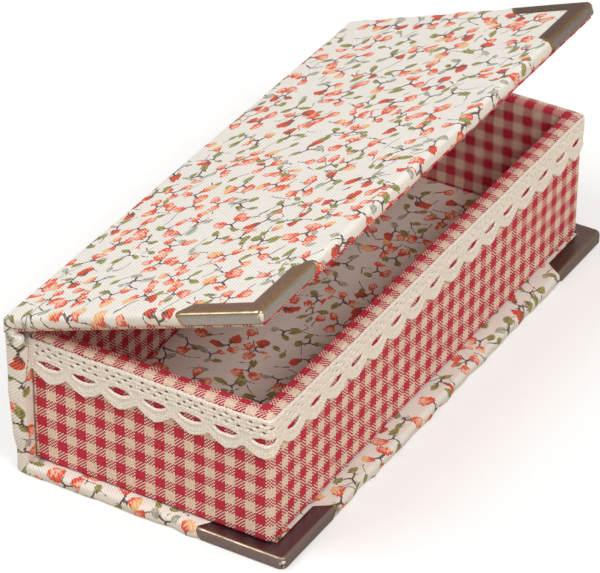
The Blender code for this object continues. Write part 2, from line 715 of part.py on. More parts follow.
def main():
    clear_scene()
    floral = make_material("floral_cloth", (0.90, 0.86, 0.78), 0.85)
    gingham = make_material("gingham_cloth", (0.62, 0.22, 0.24), 0.85)
    lace = make_material("lace", (0.86, 0.81, 0.73), 0.9)
    greyboard = make_material("greyboard", (0.42, 0.39, 0.34), 0.9)
    card = make_material("card", (0.72, 0.69, 0.62), 0.8)
    bronze = make_material("antique_bronze", (0.16, 0.11, 0.08), 0.35, 1.0)

    build_base(floral, greyboard, bronze)
    build_spine(floral, greyboard)
    build_tray_boards(greyboard)
    build_wall_cloth(gingham)
    build_floor_lining(floral, card)
    build_lace(lace)
    build_hinge_cloth(floral)
    build_hinge_lining(floral)

    axis = bpy.data.objects.new("lid_hinge_axis", None)
    bpy.context.collection.objects.link(axis)
    axis.location = (0.0, HINGE_Y, HINGE_Z)
    axis.rotation_euler = (-LID_REST_ANGLE, 0.0, 0.0)
    build_lid(axis, floral, gingham, greyboard, card, bronze)


main()
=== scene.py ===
"""Dresses the glasses box: its cloths, lace, metal corners and boards, with floor, light and camera.

Sizes and places are in millimetres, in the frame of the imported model, and become metres in each mesh.
"""

import json
import math

import bmesh
import bpy
import numpy as np
from mathutils import Matrix, Vector, noise
from mathutils.geometry import delaunay_2d_cdt


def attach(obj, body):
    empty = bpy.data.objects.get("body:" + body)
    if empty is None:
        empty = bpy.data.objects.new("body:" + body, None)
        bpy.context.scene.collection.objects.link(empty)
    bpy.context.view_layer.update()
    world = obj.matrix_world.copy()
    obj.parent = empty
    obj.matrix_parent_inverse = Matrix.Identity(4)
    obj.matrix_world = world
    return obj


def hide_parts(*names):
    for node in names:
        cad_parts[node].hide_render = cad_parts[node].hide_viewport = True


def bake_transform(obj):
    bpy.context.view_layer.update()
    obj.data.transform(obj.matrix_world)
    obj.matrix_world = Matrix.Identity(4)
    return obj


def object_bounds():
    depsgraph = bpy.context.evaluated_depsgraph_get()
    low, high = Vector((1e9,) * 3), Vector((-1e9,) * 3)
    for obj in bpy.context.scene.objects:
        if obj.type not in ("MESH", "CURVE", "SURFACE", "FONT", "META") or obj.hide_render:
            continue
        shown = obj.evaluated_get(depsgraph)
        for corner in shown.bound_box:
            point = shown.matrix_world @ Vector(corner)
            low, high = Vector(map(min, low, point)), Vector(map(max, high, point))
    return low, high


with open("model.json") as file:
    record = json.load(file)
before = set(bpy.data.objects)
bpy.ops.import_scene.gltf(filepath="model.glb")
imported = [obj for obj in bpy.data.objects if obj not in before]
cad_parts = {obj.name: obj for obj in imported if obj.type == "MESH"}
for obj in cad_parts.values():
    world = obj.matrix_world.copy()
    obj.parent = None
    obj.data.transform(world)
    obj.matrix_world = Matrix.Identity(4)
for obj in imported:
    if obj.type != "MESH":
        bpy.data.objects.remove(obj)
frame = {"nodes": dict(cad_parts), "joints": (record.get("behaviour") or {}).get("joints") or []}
CAD_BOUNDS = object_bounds()

MM = 0.001
QUARTER = math.pi / 2

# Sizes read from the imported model
HINGE = Vector(frame["joints"][0]["pos_m"]) / MM
LID_ANGLE = math.radians(-frame["joints"][0]["range_deg"][0])
LID_TURN = Matrix.Translation(HINGE) @ Matrix.Rotation(-LID_ANGLE, 4, "X")


def node_box(node, closed=False):
    """A node's lowest and highest corners, for a lid node in the hinge's frame with the lid closed."""
    points = [vertex.co / MM for vertex in frame["nodes"][node].data.vertices]
    if closed:
        back = LID_TURN.inverted()
        points = [back @ point for point in points]
    return [Vector([pick(axis) for axis in zip(*points)]) for pick in (min, max)]


BASE_LOW, BASE_HIGH = node_box("base_cover_cloth")
SPINE_LOW, SPINE_HIGH = node_box("spine_cover_cloth")
LID_LOW, LID_HIGH = node_box("lid_cover_cloth", closed=True)
TRAY_LOW, TRAY_HIGH = node_box("tray_wall_cloth")
METAL_HEIGHT = node_box("base_corner_left")[1].z
HALF_LENGTH = BASE_HIGH.x
CASE = SPINE_HIGH.y - SPINE_LOW.y
LINING_DEPTH = LID_HIGH.z - CASE
TRAY_HALF = ((TRAY_HIGH.x - TRAY_LOW.x) / 2, (TRAY_HIGH.y - TRAY_LOW.y) / 2)
TRAY_MIDDLE_Y = (TRAY_HIGH.y + TRAY_LOW.y) / 2

# Cloth
CLOTH = 0.3
GLUE = 0.3
TURN_IN = 12.0
EDGE_RADIUS = 1.0
SPINE_FOOT_RADIUS = 1.6
CLOTH_STEP = 2.0
ARC_STEPS = 5
SPINE_BULGE = 0.5
SPINE_TOP_BULGE = 1.6
AXIS_GAP = 0.9
CLOTH_WAVE, CLOTH_WAVE_SIZE = 0.14, 21.0
EDGE_WAVE, EDGE_WAVE_SIZE = 0.6, 8.0
BASE_EDGE_WAVE, BASE_EDGE_WAVE_SIZE = 0.5, 5.0
EDGE_REACH = 4.0
EDGE_FULL = 0.05
PINCH = 0.1
PINCH_REACH = 0.5
HINGE_CALM = 1.5
HINGE_WAVE_SHARE = 0.3
BASE_SEED = 0.0
LID_SEED = 60.0

# Print: its colours, how it lies on the cloth and how far apart its motifs stand
INK = {
    "ground": "F1ECE5",
    "shaded ground": "E8E3D9",
    "red": "E0451B",
    "deep": "CB3D1A",
    "salmon": "EE7148",
    "pale": "F6CDB4",
    "ochre": "F0BC76",
    "dark": "56352C",
    "olive": "5F5F22",
    "light_olive": "A0994E",
    "grey": "8B8C7C",
    "light_grey": "C4C4B6",
    "twig": "563A36",
}
PRINT_SHIFT = (1.5, 1.0)
FLORAL_TWILL = 0.85
SPRIG_SPACING = 10.2
LEAF_SPACING = 8.8

# Gingham: six threads to a check, placed as on the near end and the front
CHECK = 3.035
THREAD = CHECK / 6
GINGHAM_FRONT_PHASE = -70.04
GINGHAM_END_PHASE = -32.15
GINGHAM_ROW_PHASE = 28.6

# Strip inside the hinge
STRIP_ON_SPINE = 8.0
STRIP_ON_LID = 10.0
STRIP_GAP = 0.85
STRIP_PRINT_PLACE = 300.0

# Tray, with its sides in the order +X, +Y, -X, -Y
OUTWARD = [Vector(way) for way in ((1, 0), (0, 1), (-1, 0), (0, -1))]
TRAY_CORNER = 1.5
RIM_RADIUS = 1.1
RIM_CORNER = 0.7
WALL = 4.7
INNER_CORNER = 1.8
TRAY_FOOT = 0.6
FLOOR_TURN_IN = 8.0
TRAY_STEP = 2.6
TRAY_WAVE, TRAY_WAVE_SIZE = 0.128, 16.0
RIM_WAVE, RIM_WAVE_SIZE = 0.12, 7.0
RIM_FOLD = 0.32

# Linings
CARD_RADIUS = 0.35
CARD_TURN_IN = 6.0
FLOOR_PHASE = (500.0, 37.0)
LID_PHASE = (1.3 + CHECK, 2.2)

# Metal corners
METAL = 0.4
METAL_BEVEL = 0.07
PROUD = 0.4
LEG = 26.5
ARM = 5.4
END_SLANT = 3.0
FLANGE_SLANT = 1.3
PLAN_RADIUS = 2.2
CREASE = 1.1
CREASE_FOOT = 0.45
METAL_DENT, METAL_DENT_SIZE = 0.05, 9.0
SEAM_TOP = 2.5
SEAM_FOOT = 0.5
# Across the crease, from the plate round to the side: golden wear with a pale painted highlight near its top
# and painted shade below it; and how strong these are on each arm of each corner, as the light falls on it.
CREASE_WEAR_AND_LIGHT = (0.6, 0.92, 1.05, 0.6, 0.12, -0.2)
END_WEAR_AND_LIGHT_SHARES = {("lid", -1): 1.0, ("lid", 1): 0.5, ("base", -1): 0.92, ("base", 1): 0.6}
FRONT_WEAR_AND_LIGHT_SHARES = {("lid", -1): 0.62, ("lid", 1): 0.5, ("base", -1): 0.6, ("base", 1): 0.6}

# Bronze: two tones of each corner's plate and two of its sides, with painted light in them: darker plates and
# greyer sides for the reflections each face takes, the far corners darker than the near ones, and the near
# base plate tinted by a painted reflection of the red cloth; then golden tones where the metal shows wear,
# with a pale painted highlight
BRONZE_PAINTED_LIGHT_TONES = {
    ("lid", -1): ("72584C", "907468", "91877C", "9E948A"),
    ("lid", 1): ("503F3A", "66534C", "7C716A", "8E837B"),
    ("base", -1): ("6E6068", "84747C", "6C5E58", "7C6E67"),
    ("base", 1): ("584842", "6C5C55", "6C5E58", "7C6E67"),
}
GOLD_AND_HIGHLIGHT = {"lid": ("8E6E42", "FBF0D6"), "base": ("7A6454", "E8D8C4")}
BRONZE_ROUGHNESS = {"lid": 0.26, "base": 0.36}

# Lace: the band with its length from wall to wall, and one scallop with its holes
LACE_OFFSET = 0.25
LACE_BACK = 0.3
LACE_RELIEF = 0.8
LACE_TOP_DROP = 1.35
LACE_FRONT_LIFT = 0.85
LACE_TOP_WAVE, LACE_TOP_WAVE_SIZE = 0.35, 14.0
LACE_CURL, LACE_CURL_SIZE = 0.25, 6.0
TOP_TOOTH = 0.16
TEETH = 6
CORD_RIDGE, CORD_WIDTH = 0.36, 0.42
LACE_TURN_RADIUS = TRAY_CORNER + LACE_OFFSET
LACE_TURN = QUARTER * LACE_TURN_RADIUS
LACE_END_RUN = 2 * TRAY_HALF[1] - TRAY_CORNER
LACE_FRONT_RUN = 2 * (TRAY_HALF[0] - TRAY_CORNER)
LACE_LENGTH = 2 * LACE_END_RUN + 2 * LACE_TURN + LACE_FRONT_RUN
LACE_CELL = 10.7
LACE_GRID = 0.36
NOTCH_DROP = 9.4
LOBE_DROP = 12.35
EYELET_DROP = 6.6
EYELET_HALF = 3.3
EYELET_RISE = 0.7
EYELET_FALL = 1.3
CORD_ROWS = (0.85, 2.12, 3.38, 4.65)
HOLE_ROWS = ((1.5, 0.0), (2.75, 0.5), (4.0, 0.0))
HOLES_IN_ROW = 3
HOLE_HALF = (0.58, 0.33)

# Scallops as they stand on the near end and the front: where the first begins and how long each is
SCALLOPS = range(-1, 31)
END_FIRST, END_STEP = 0.86, 10.77
FRONT_FIRST, FRONT_STEP = 15.95, 10.47

# Camera and light
CAMERA_PLACE = (-715.33, -414.22, 579.45)
CAMERA_RIGHT = (0.51028357, -0.85999338, 0.00469755)
CAMERA_UP = (0.47928496, 0.2889142, 0.82874273)
CAMERA_LENS = 218.04
SENSOR = 36.0
WHITE = (1.0, 1.0, 1.0, 1.0)
FLOOR_SIZE = 6.0
FLOOR_TONE = (0.5, 0.41, 0.29, 1.0)
SHOWN_FLOOR_TONE = (0.66, 0.66, 0.66, 1.0)
SHOWN_FLOOR_GLOW = 0.36
DOME_STRENGTH = 0.57
LAMP_TARGET = (0.0, 0.0, 0.02)
LAMPS = (
    ("key", (-0.4, 0.4, 1.0), 0.5, 3.9, (1.0, 1.0, 1.0)),
    ("fill", (-0.45, -0.85, 1.0), 0.45, 7.3, (1.0, 0.94, 0.88)),
)


# Shader helpers

def operation(name, swapped=False):
    """A method that adds one node of arithmetic. swapped puts the other number first."""
    def method(self, *others):
        return self.graph.math(name, *((*others, self) if swapped else (self, *others)))
    return method


class Value:
    """A number that a material works out at each point, with arithmetic on it."""

    __add__ = __radd__ = operation("ADD")
    __mul__ = __rmul__ = operation("MULTIPLY")
    __sub__ = operation("SUBTRACT")
    __rsub__ = operation("SUBTRACT", swapped=True)
    __truediv__ = operation("DIVIDE")
    abs = operation("ABSOLUTE")
    floor = operation("FLOOR")
    sine = operation("SINE")
    cosine = operation("COSINE")
    power = operation("POWER")
    above = operation("GREATER_THAN")
    below = operation("LESS_THAN")
    most = operation("MAXIMUM")

    def __init__(self, graph, socket):
        self.graph = graph
        self.socket = socket

    def fraction(self):
        return self - self.floor()

    def rise(self, low, high):
        """Smoothly from 0 at low to 1 at high. With low above high it falls instead."""
        falling = low > high
        inputs = {
            "Value": self,
            "From Min": min(low, high),
            "From Max": max(low, high),
            "To Min": float(falling),
            "To Max": float(not falling),
        }
        return self.graph.add("ShaderNodeMapRange", inputs, "Result", interpolation_type="SMOOTHSTEP")

    def mix(self, low, high):
        """The colour that lies between two colours by this share."""
        return self.graph.add("ShaderNodeMix", {0: self, 6: low, 7: high}, 2, data_type="RGBA")

    def shade(self, share):
        """This colour made darker or lighter by a share."""
        return self.graph.add("ShaderNodeVectorMath", {0: self, "Scale": share}, operation="SCALE")


def colour_of(code):
    """A colour written as on a colour card, in linear values."""
    shares = [int(code[place:place + 2], 16) / 255 for place in (0, 2, 4)]
    linear = [share / 12.92 if share <= 0.04045 else ((share + 0.055) / 1.055) ** 2.4 for share in shares]
    return (*linear, 1.0)


class Graph:
    """The nodes of a material or of the world, made by arithmetic."""

    def __init__(self, owner):
        owner.use_nodes = True
        self.owner = owner
        self.tree = owner.node_tree

    def feed(self, socket, value):
        """Links a socket to a worked-out value, or sets it to a number or a colour."""
        if isinstance(value, Value):
            self.tree.links.new(value.socket, socket)
        else:
            socket.default_value = colour_of(value) if isinstance(value, str) else value

    def add(self, kind, inputs=None, output=0, **settings):
        """One output of a new node, with its inputs given by name or number."""
        node = self.tree.nodes.new(kind)
        for name, setting in settings.items():
            setattr(node, name, setting)
        for name, value in (inputs or {}).items():
            self.feed(node.inputs[name], value)
        return Value(self, node.outputs[output])

    def math(self, name, *values):
        return self.add("ShaderNodeMath", dict(enumerate(values)), operation=name)

    def vector(self, x, y=0.0, z=0.0):
        return self.add("ShaderNodeCombineXYZ", {0: x, 1: y, 2: z})

    def parts(self, vector):
        node = self.add("ShaderNodeSeparateXYZ", {0: vector}).socket.node
        return [Value(self, socket) for socket in node.outputs]

    def cloth_place(self):
        """Millimetres along and across the cloth."""
        along, across, _ = self.parts(self.add("ShaderNodeUVMap", uv_map="UVMap"))
        return along / MM, across / MM

    def object_place(self):
        """Millimetres in the frame of the model."""
        return [part / MM for part in self.parts(self.add("ShaderNodeTexCoord", output="Object"))]

    def attribute(self, name):
        return self.add("ShaderNodeAttribute", output="Fac", attribute_name=name)

    def noise(self, place, size, detail=2.0, roughness=0.5):
        """Cloudy values about 0.5, with clouds of the given size in millimetres."""
        vector = self.vector(*place)
        inputs = {"Vector": vector, "Scale": 1.0 / size, "Detail": detail, "Roughness": roughness}
        return self.add("ShaderNodeTexNoise", inputs)

    def random(self, *place):
        """An even random number for each cell."""
        inputs = {"Vector": self.vector(*place)}
        return self.add("ShaderNodeTexWhiteNoise", inputs, "Value", noise_dimensions="3D")


class Material(Graph):
    """A Principled material whose nodes are made by arithmetic."""

    def __init__(self, name, roughness, metallic=0.0):
        super().__init__(bpy.data.materials.new(name))
        self.set("Roughness", roughness)
        self.set("Metallic", metallic)

    def set(self, name, value):
        self.feed(self.tree.nodes["Principled BSDF"].inputs[name], value)

    def finish(self, colour, height, depth):
        """Sets the colour and the relief, whose depth is in millimetres."""
        inputs = {"Strength": 1.0, "Distance": depth * MM, "Height": height}
        self.set("Base Color", colour)
        self.set("Normal", self.add("ShaderNodeBump", inputs))
        return self.owner


# Materials

def gingham_material(name):
    """Red and cream checks with each thread drawn, for a plain weave, with painted shade between the threads.
    """
    graph = Material(name, 0.9)
    along, across = graph.cloth_place()
    wobble = graph.noise((along, across), 9.0) - 0.5
    along_w, across_w = along + wobble * 0.5, across + wobble * 0.4
    fuzz = graph.noise((along, across), 0.2, 1.0) - 0.5
    lengthwise, crosswise = [
        (place / (2 * CHECK) + 0.25).fraction().below(0.5) for place in (along_w, across_w)
    ]
    turn_along, turn_across = along_w * (math.pi / THREAD), across_w * (math.pi / THREAD)
    slanting, counter = (turn_along - turn_across).cosine(), (turn_along + turn_across).cosine()
    red_warp = lengthwise * (1.0 - crosswise)
    unlike = lengthwise - crosswise
    mixed = unlike.abs()
    crossing = slanting * (1.0 - red_warp * 0.6) - counter + fuzz * 0.5
    red = crosswise + unlike * (crossing + unlike * 0.3).rise(-0.32, 0.28)

    tone = graph.noise((along, across), 0.7, 3.0)
    reds = tone.rise(0.3, 0.75).mix("BD1F38", "D6344E")
    creams = tone.rise(0.3, 0.75).mix("ECCEB3", "FBE4D1")
    reds = mixed.mix(reds, "BC2440")
    creams = mixed.mix(creams, "FAE4D2")
    height = crossing.abs() * 0.5
    slub = graph.noise((along * 0.12, across), 0.5, 2.0) - 0.5
    painted_speck_shade = graph.noise((along + 7.0, across), 0.42, 2.0) - 0.5
    # Painted shade of the weave: darker where the threads dip between their crossings and lighter on their
    # tops, faint diagonal painted shade, and specks of painted shade between the threads; the slub is thick
    # and thin yarn.
    light = height * 0.25 + 0.84 + slub * 0.2 + painted_speck_shade * 0.5 - counter * 0.05
    return graph.finish(red.mix(creams, reds).shade(light), height, 0.07)


def oval(u, v, half_u, half_v):
    """Above zero inside an oval, about in millimetres from its edge."""
    away = ((u / half_u) * (u / half_u) + (v / half_v) * (v / half_v)).power(0.5)
    return (1.0 - away) * half_v


def turned(u, v, angle):
    """Flat coordinates turned by a worked-out or a plain angle."""
    if isinstance(angle, Value):
        cosine, sine = angle.cosine(), angle.sine()
    else:
        cosine, sine = math.cos(angle), math.sin(angle)
    return u * cosine + v * sine, v * cosine - u * sine


def scattered(graph, along, across, spacing, randomness):
    """The nearest of many scattered places: its own coordinates, and the way to it in millimetres."""
    x, y = along / spacing, across / spacing
    inputs = {"Vector": graph.vector(x, y), "Scale": 1.0, "Randomness": randomness}
    settings = {"voronoi_dimensions": "2D", "feature": "F1"}
    middle_x, middle_y, _ = graph.parts(graph.add("ShaderNodeTexVoronoi", inputs, "Position", **settings))
    return (middle_x, middle_y), (x - middle_x) * spacing, (y - middle_y) * spacing


def motif(graph, u, v, kind, fray, colour):
    """One blossom or leaf, drawn with short brush strokes that run along u from its stalk."""
    side_u, side_v = turned(u - 0.5, v - 0.75, 0.5)
    other_u, other_v = turned(u + 0.1, v + 0.7, -0.45)
    petals = oval(u, v, 2.05, 1.35)
    petals = petals.most(oval(side_u, side_v, 1.4, 1.0)).most(oval(other_u, other_v, 1.5, 1.05))
    petals = petals + fray * 0.9
    blade = 1.12 - u * u * 0.3 - v.abs() + fray * 0.35
    is_leaf = kind.above(0.6)
    inside = petals + (blade - petals) * is_leaf

    stroke = graph.noise((u * 0.45, v * 1.9, kind * 40.0), 0.62, 2.0, 0.6)
    tip = u.rise(-1.9, 2.1)
    hollow = inside.rise(0.15, 0.6)
    bold = stroke.rise(0.4, 0.6).mix(INK["deep"], INK["red"])
    bold = (stroke + tip * 0.3).rise(0.62, 0.5).mix(bold, INK["dark"])
    soft = (stroke + tip * 0.3 + hollow * 0.1).rise(0.6, 0.8).mix(INK["red"], INK["salmon"])
    soft = (stroke + tip * 0.26 + hollow * 0.2).rise(0.78, 0.9).mix(soft, INK["pale"])
    warm = (tip + stroke * 0.5 - 0.25).rise(0.25, 0.6).mix(INK["red"], INK["ochre"])
    warm = (stroke + hollow * 0.2).rise(0.68, 0.8).mix(warm, INK["pale"])
    blossom = kind.above(0.17).mix(bold, soft)
    blossom = kind.above(0.53).mix(blossom, warm)
    leaf = (stroke * 1.5 + tip * 0.25).rise(0.6, 1.0).mix(INK["olive"], INK["light_olive"])
    pale_leaf = stroke.rise(0.4, 0.6).mix(INK["grey"], INK["light_grey"])
    leaf = kind.above(0.83).mix(leaf, pale_leaf)
    return inside.rise(-0.06, 0.1).mix(colour, is_leaf.mix(blossom, leaf))


def sprigs(graph, along, across, colour):
    """Forked twigs, each with three blossoms or leaves at its ends."""
    drift = [(graph.noise((place, across), 17.0, 1.0) - 0.5) * 8.0 for place in (along, along + 91.0)]
    middle, dx, dy = scattered(graph, along + drift[0], across + drift[1], SPRIG_SPACING, 0.5)
    third = 2 * math.pi / 3
    turn = graph.random(*middle, 1.0) * (2 * math.pi)
    arm = ((graph.math("ARCTAN2", dy, dx) - turn) / third + 0.5).floor()
    reach, side = turned(dx, dy, arm * third + turn)
    arm = (((arm + 0.5) / 3.0).fraction() * 3.0).floor()
    pick = [graph.random(middle[0] * 3.7 + arm, middle[1], 2.0 + number) for number in range(4)]
    kind = (graph.random(*middle, 9.0) * 0.72 + pick[0] * 0.5).fraction()

    bow = (pick[1] - 0.5) * 0.34
    curve = (side - reach * (3.2 - reach) * bow).abs()
    stem = (0.32 - reach * 0.05 - curve).rise(-0.07, 0.05) * reach.below(2.6)
    thorn = ((reach - 1.3) * 0.8 - curve * 0.9).abs()
    thorn = (0.11 - thorn).rise(-0.07, 0.04) * curve.below(0.95) * pick[2].above(0.45)
    colour = stem.most(thorn).mix(colour, INK["twig"])

    fray = graph.noise((along, across), 0.85, 2.0) - 0.5
    size = pick[3] * 0.25 + 0.86
    centre = pick[1] * 0.7 + 3.1
    u, v = turned(reach - centre, side + (pick[3] - 0.5) * 1.6, (pick[2] - 0.5) * 1.8)
    return motif(graph, u / size, v / size, kind, fray, colour)


def loose_leaves(graph, along, across, colour):
    """Small leaves on short curved stalks, scattered below the sprigs."""
    middle, dx, dy = scattered(graph, along + 31.0, across + 17.0, LEAF_SPACING, 0.9)
    pick = [graph.random(*middle, 20.0 + number) for number in range(3)]
    u, v = turned(dx, dy, pick[0] * (2 * math.pi))
    fray = graph.noise((along, across), 0.8, 2.0) - 0.5
    curve = v + (u + 1.4) * (u + 1.4) * 0.12
    stalk = (0.15 - curve.abs()).rise(-0.07, 0.05) * (u + 3.1).abs().below(1.5)
    shown = pick[1].above(0.12)
    colour = (stalk * shown).mix(colour, INK["twig"])
    gone = (1.0 - shown) * 9.0
    return motif(graph, u / 0.85 + gone, v / 0.85 + gone, pick[2] * 0.62 + 0.37, fray, colour)


def branches(graph, along, across, colour):
    """Long thin twigs that wander between the sprigs."""
    for angle, spacing, offset in ((0.45, 13.0, 0.0), (1.9, 17.0, 40.0)):
        x, y = turned(along + offset, across, angle)
        wander = (graph.noise((x, y, offset), 11.0, 1.0) - 0.5) * 11.0
        fine = (graph.noise((x, y, offset), 1.6, 1.0) - 0.5) * 0.7
        line = (((y + wander + fine) / spacing).fraction() - 0.5).abs() * spacing
        shown = graph.noise((x, y, offset + 7.0), 6.5, 0.0).rise(0.5, 0.55)
        colour = ((0.14 - line).rise(-0.1, 0.05) * shown).mix(colour, INK["twig"])
    return colour


def floral_material(name):
    """Cream twill with a small scattered print of blossoms, leaves and twigs, and painted shade along its
    ribs.
    """
    graph = Material(name, 0.9)
    along, across = graph.cloth_place()
    along, across = along + PRINT_SHIFT[0], across + PRINT_SHIFT[1]
    rib = ((along * 0.96 + across * 0.8) * (2 * math.pi / FLORAL_TWILL)).sine() * 0.5 + 0.5
    jagged = along + rib * 0.22, across + rib * 0.12
    ground = graph.noise((along, across), 3.0).mix(INK["shaded ground"], INK["ground"])
    colour = branches(graph, *jagged, ground)
    colour = loose_leaves(graph, *jagged, colour)
    colour = sprigs(graph, *jagged, colour)
    thread = ((across - along) * (2 * math.pi / 0.7)).sine() * 0.5 + 0.5
    # On the rib crests the inks pale toward the ground; then the colour is painted lighter on the crests and
    # darker in the grooves: painted shade of the twill.
    colour = (rib.rise(0.45, 1.0) * 0.16).mix(colour, ground)
    return graph.finish(colour.shade(rib * 0.2 + 0.86), rib * 0.8 + thread * 0.2, 0.05)


def lace_material(name):
    """Off-white cotton with small knitted stitches and a fibrous surface, with painted shade in the stitches.
    """
    graph = Material(name, 0.95)
    along, across = graph.cloth_place()
    drift = (graph.noise((along, across), 2.2) - 0.5) * 1.2
    row = ((across + drift * 0.4) / 0.58).fraction()
    slant = ((row - 0.5).abs() * 0.8 + (along + drift * 0.5) / 0.85).fraction()
    ply, strand = (slant * math.pi).sine(), (row * math.pi).sine()
    fibre = graph.noise((along * 1.4, across), 0.3, 3.0, 0.7)
    height = ply * 0.3 + strand * 0.25 + fibre * 0.5
    tone = graph.noise((along, across), 1.1, 3.0, 0.6)
    colour = tone.rise(0.3, 0.7).mix("F1E7DA", "FCF5EC")
    # Painted shade of the stitches: darker where the plies, strands and fibres lie low and lighter where they
    # stand up.
    return graph.finish(colour.shade(height * 0.5 + 0.69), height, 0.2)


def bronze_material(name, case, side):
    """Antique bronze with painted light: plates and sides in tones that paint their reflections, golden tones
    where the folds show wear, a pale painted highlight on them and a dark line of painted shade below.
    """
    roughness = BRONZE_ROUGHNESS[case]
    graph = Material(name, roughness, metallic=1.0)
    graph.set("Specular Tint", (0.7, 0.65, 0.6, 1.0))
    place = graph.object_place()
    wear_and_painted_light, flank = graph.attribute("wear_and_painted_light"), graph.attribute("side")
    speckle, clouds = graph.noise(place, 0.7, 3.0, 0.6), graph.noise(place, 6.0)
    tones, gold_and_highlight = BRONZE_PAINTED_LIGHT_TONES[case, side], GOLD_AND_HIGHLIGHT[case]
    # Plate and side tones are painted light: the plates darker and the sides greyer, as their reflections
    # fall.
    plate, sides = [speckle.rise(0.2, 0.9).mix(*pair) for pair in (tones[:2], tones[2:])]
    colour = flank.mix(plate, sides)
    wear_and_highlight = wear_and_painted_light + (clouds - 0.5) * 0.25 + (speckle - 0.5) * 0.2
    # Golden wear, then a pale painted highlight where the value is high, then a dark line of painted shade
    # where it falls below zero.
    colour = wear_and_highlight.rise(0.05, 0.85).mix(colour, gold_and_highlight[0])
    colour = wear_and_highlight.rise(0.8, 1.05).mix(colour, gold_and_highlight[1])
    colour = wear_and_painted_light.rise(-0.1, -0.4).mix(colour, "4A3A26")
    graph.set("Roughness", speckle * 0.14 + (roughness - 0.07))
    return graph.finish(colour, speckle, 0.012)


def board_material(name, dark, light):
    """Pressed paper with short fibres."""
    graph = Material(name, 0.95)
    x, y, z = graph.object_place()
    fibre = graph.noise((x, y * 0.3, z), 0.4, 3.0, 0.7)
    fleck = graph.noise((x + 40.0, y, z), 1.1, 1.0)
    colour = fibre.rise(0.3, 0.7).mix(dark, light)
    return graph.finish(fleck.rise(0.7, 0.76).mix(colour, "5B5348"), fibre, 0.05)


# Mesh helpers

def add_object(name, data):
    item = bpy.data.objects.new(name, data)
    bpy.context.scene.collection.objects.link(item)
    return item


def new_object(name, mesh, material, thickness=None):
    """A smooth object. A sheet with a thickness gets it inward from the face that it shows."""
    mesh.materials.append(material)
    mesh.shade_smooth()
    item = add_object(name, mesh)
    if thickness:
        modifier = item.modifiers.new("Thickness", "SOLIDIFY")
        modifier.thickness = thickness * MM
        modifier.offset = -1.0
        modifier.use_even_offset = False
    return item


def new_mesh(bm, name, face_out=True):
    """Makes a mesh of what is built, with its faces turned outward if asked."""
    if face_out:
        bmesh.ops.recalc_face_normals(bm, faces=bm.faces)
    mesh = bpy.data.meshes.new(name)
    bm.to_mesh(mesh)
    bm.free()
    return mesh


def join_near(bm, distance, shortest):
    """Joins points that lie together and takes out faces that have no width."""
    bmesh.ops.remove_doubles(bm, verts=bm.verts, dist=distance * MM)
    bmesh.ops.dissolve_degenerate(bm, dist=shortest * MM, edges=bm.edges)


def add_face(bm, layer, vertices, places):
    """A face with flat cloth coordinates, in millimetres, at its corners."""
    face = bm.faces.new(vertices)
    for loop, (u, v) in zip(face.loops, places):
        loop[layer].uv = (u * MM, v * MM)


def cells(rows, columns, closed=False):
    """The corners of each cell of a grid, which may close on itself across."""
    for row in range(rows - 1):
        for column in range(columns if closed else columns - 1):
            after = (column + 1) % columns
            yield [(row, column), (row, after), (row + 1, after), (row + 1, column)]


def grid_mesh(name, points, places):
    """A mesh over a grid of points. places holds flat cloth coordinates for each point."""
    bm = bmesh.new()
    layer = bm.loops.layers.uv.new("UVMap")
    vertices = [[bm.verts.new(point * MM) for point in row] for row in points]
    for corners in cells(*points.shape[:2]):
        add_face(bm, layer, [vertices[row][column] for row, column in corners], [places[c] for c in corners])
    join_near(bm, 0.002, 0.002)
    return new_mesh(bm, name, face_out=False)


def even(start, end, step):
    """Evenly spaced values from start to end."""
    count = max(int(math.ceil(abs(end - start) / step)), 1)
    return list(np.linspace(start, end, count + 1))


def distances(path):
    """The distance along a path from its start to each of its points."""
    total = [0.0]
    for before, after in zip(path, path[1:]):
        total.append(total[-1] + math.dist(before, after))
    return total


def cloud(x, y, z, size):
    """Smooth noise from -1 to 1 with waves of the given size."""
    return noise.noise(Vector((x, y, z)) / size)


def arc(centre, radius, start, end, steps=ARC_STEPS):
    """Points on an arc in a plane, without its first point."""
    turns = np.linspace(start, end, steps + 1)[1:]
    return [(centre[0] + radius * math.cos(turn), centre[1] + radius * math.sin(turn)) for turn in turns]


# Cover cloth: one sheet round base, spine and lid, turned in along every edge

def spine_bulge(z):
    """How far the cloth of the spine stands off its board: nothing at the foot, most near the hinge."""
    share = max(0.0, min(z / HINGE.z, 1.0))
    return SPINE_BULGE * math.sin(math.pi * share ** 2) + SPINE_TOP_BULGE * share ** 1.3


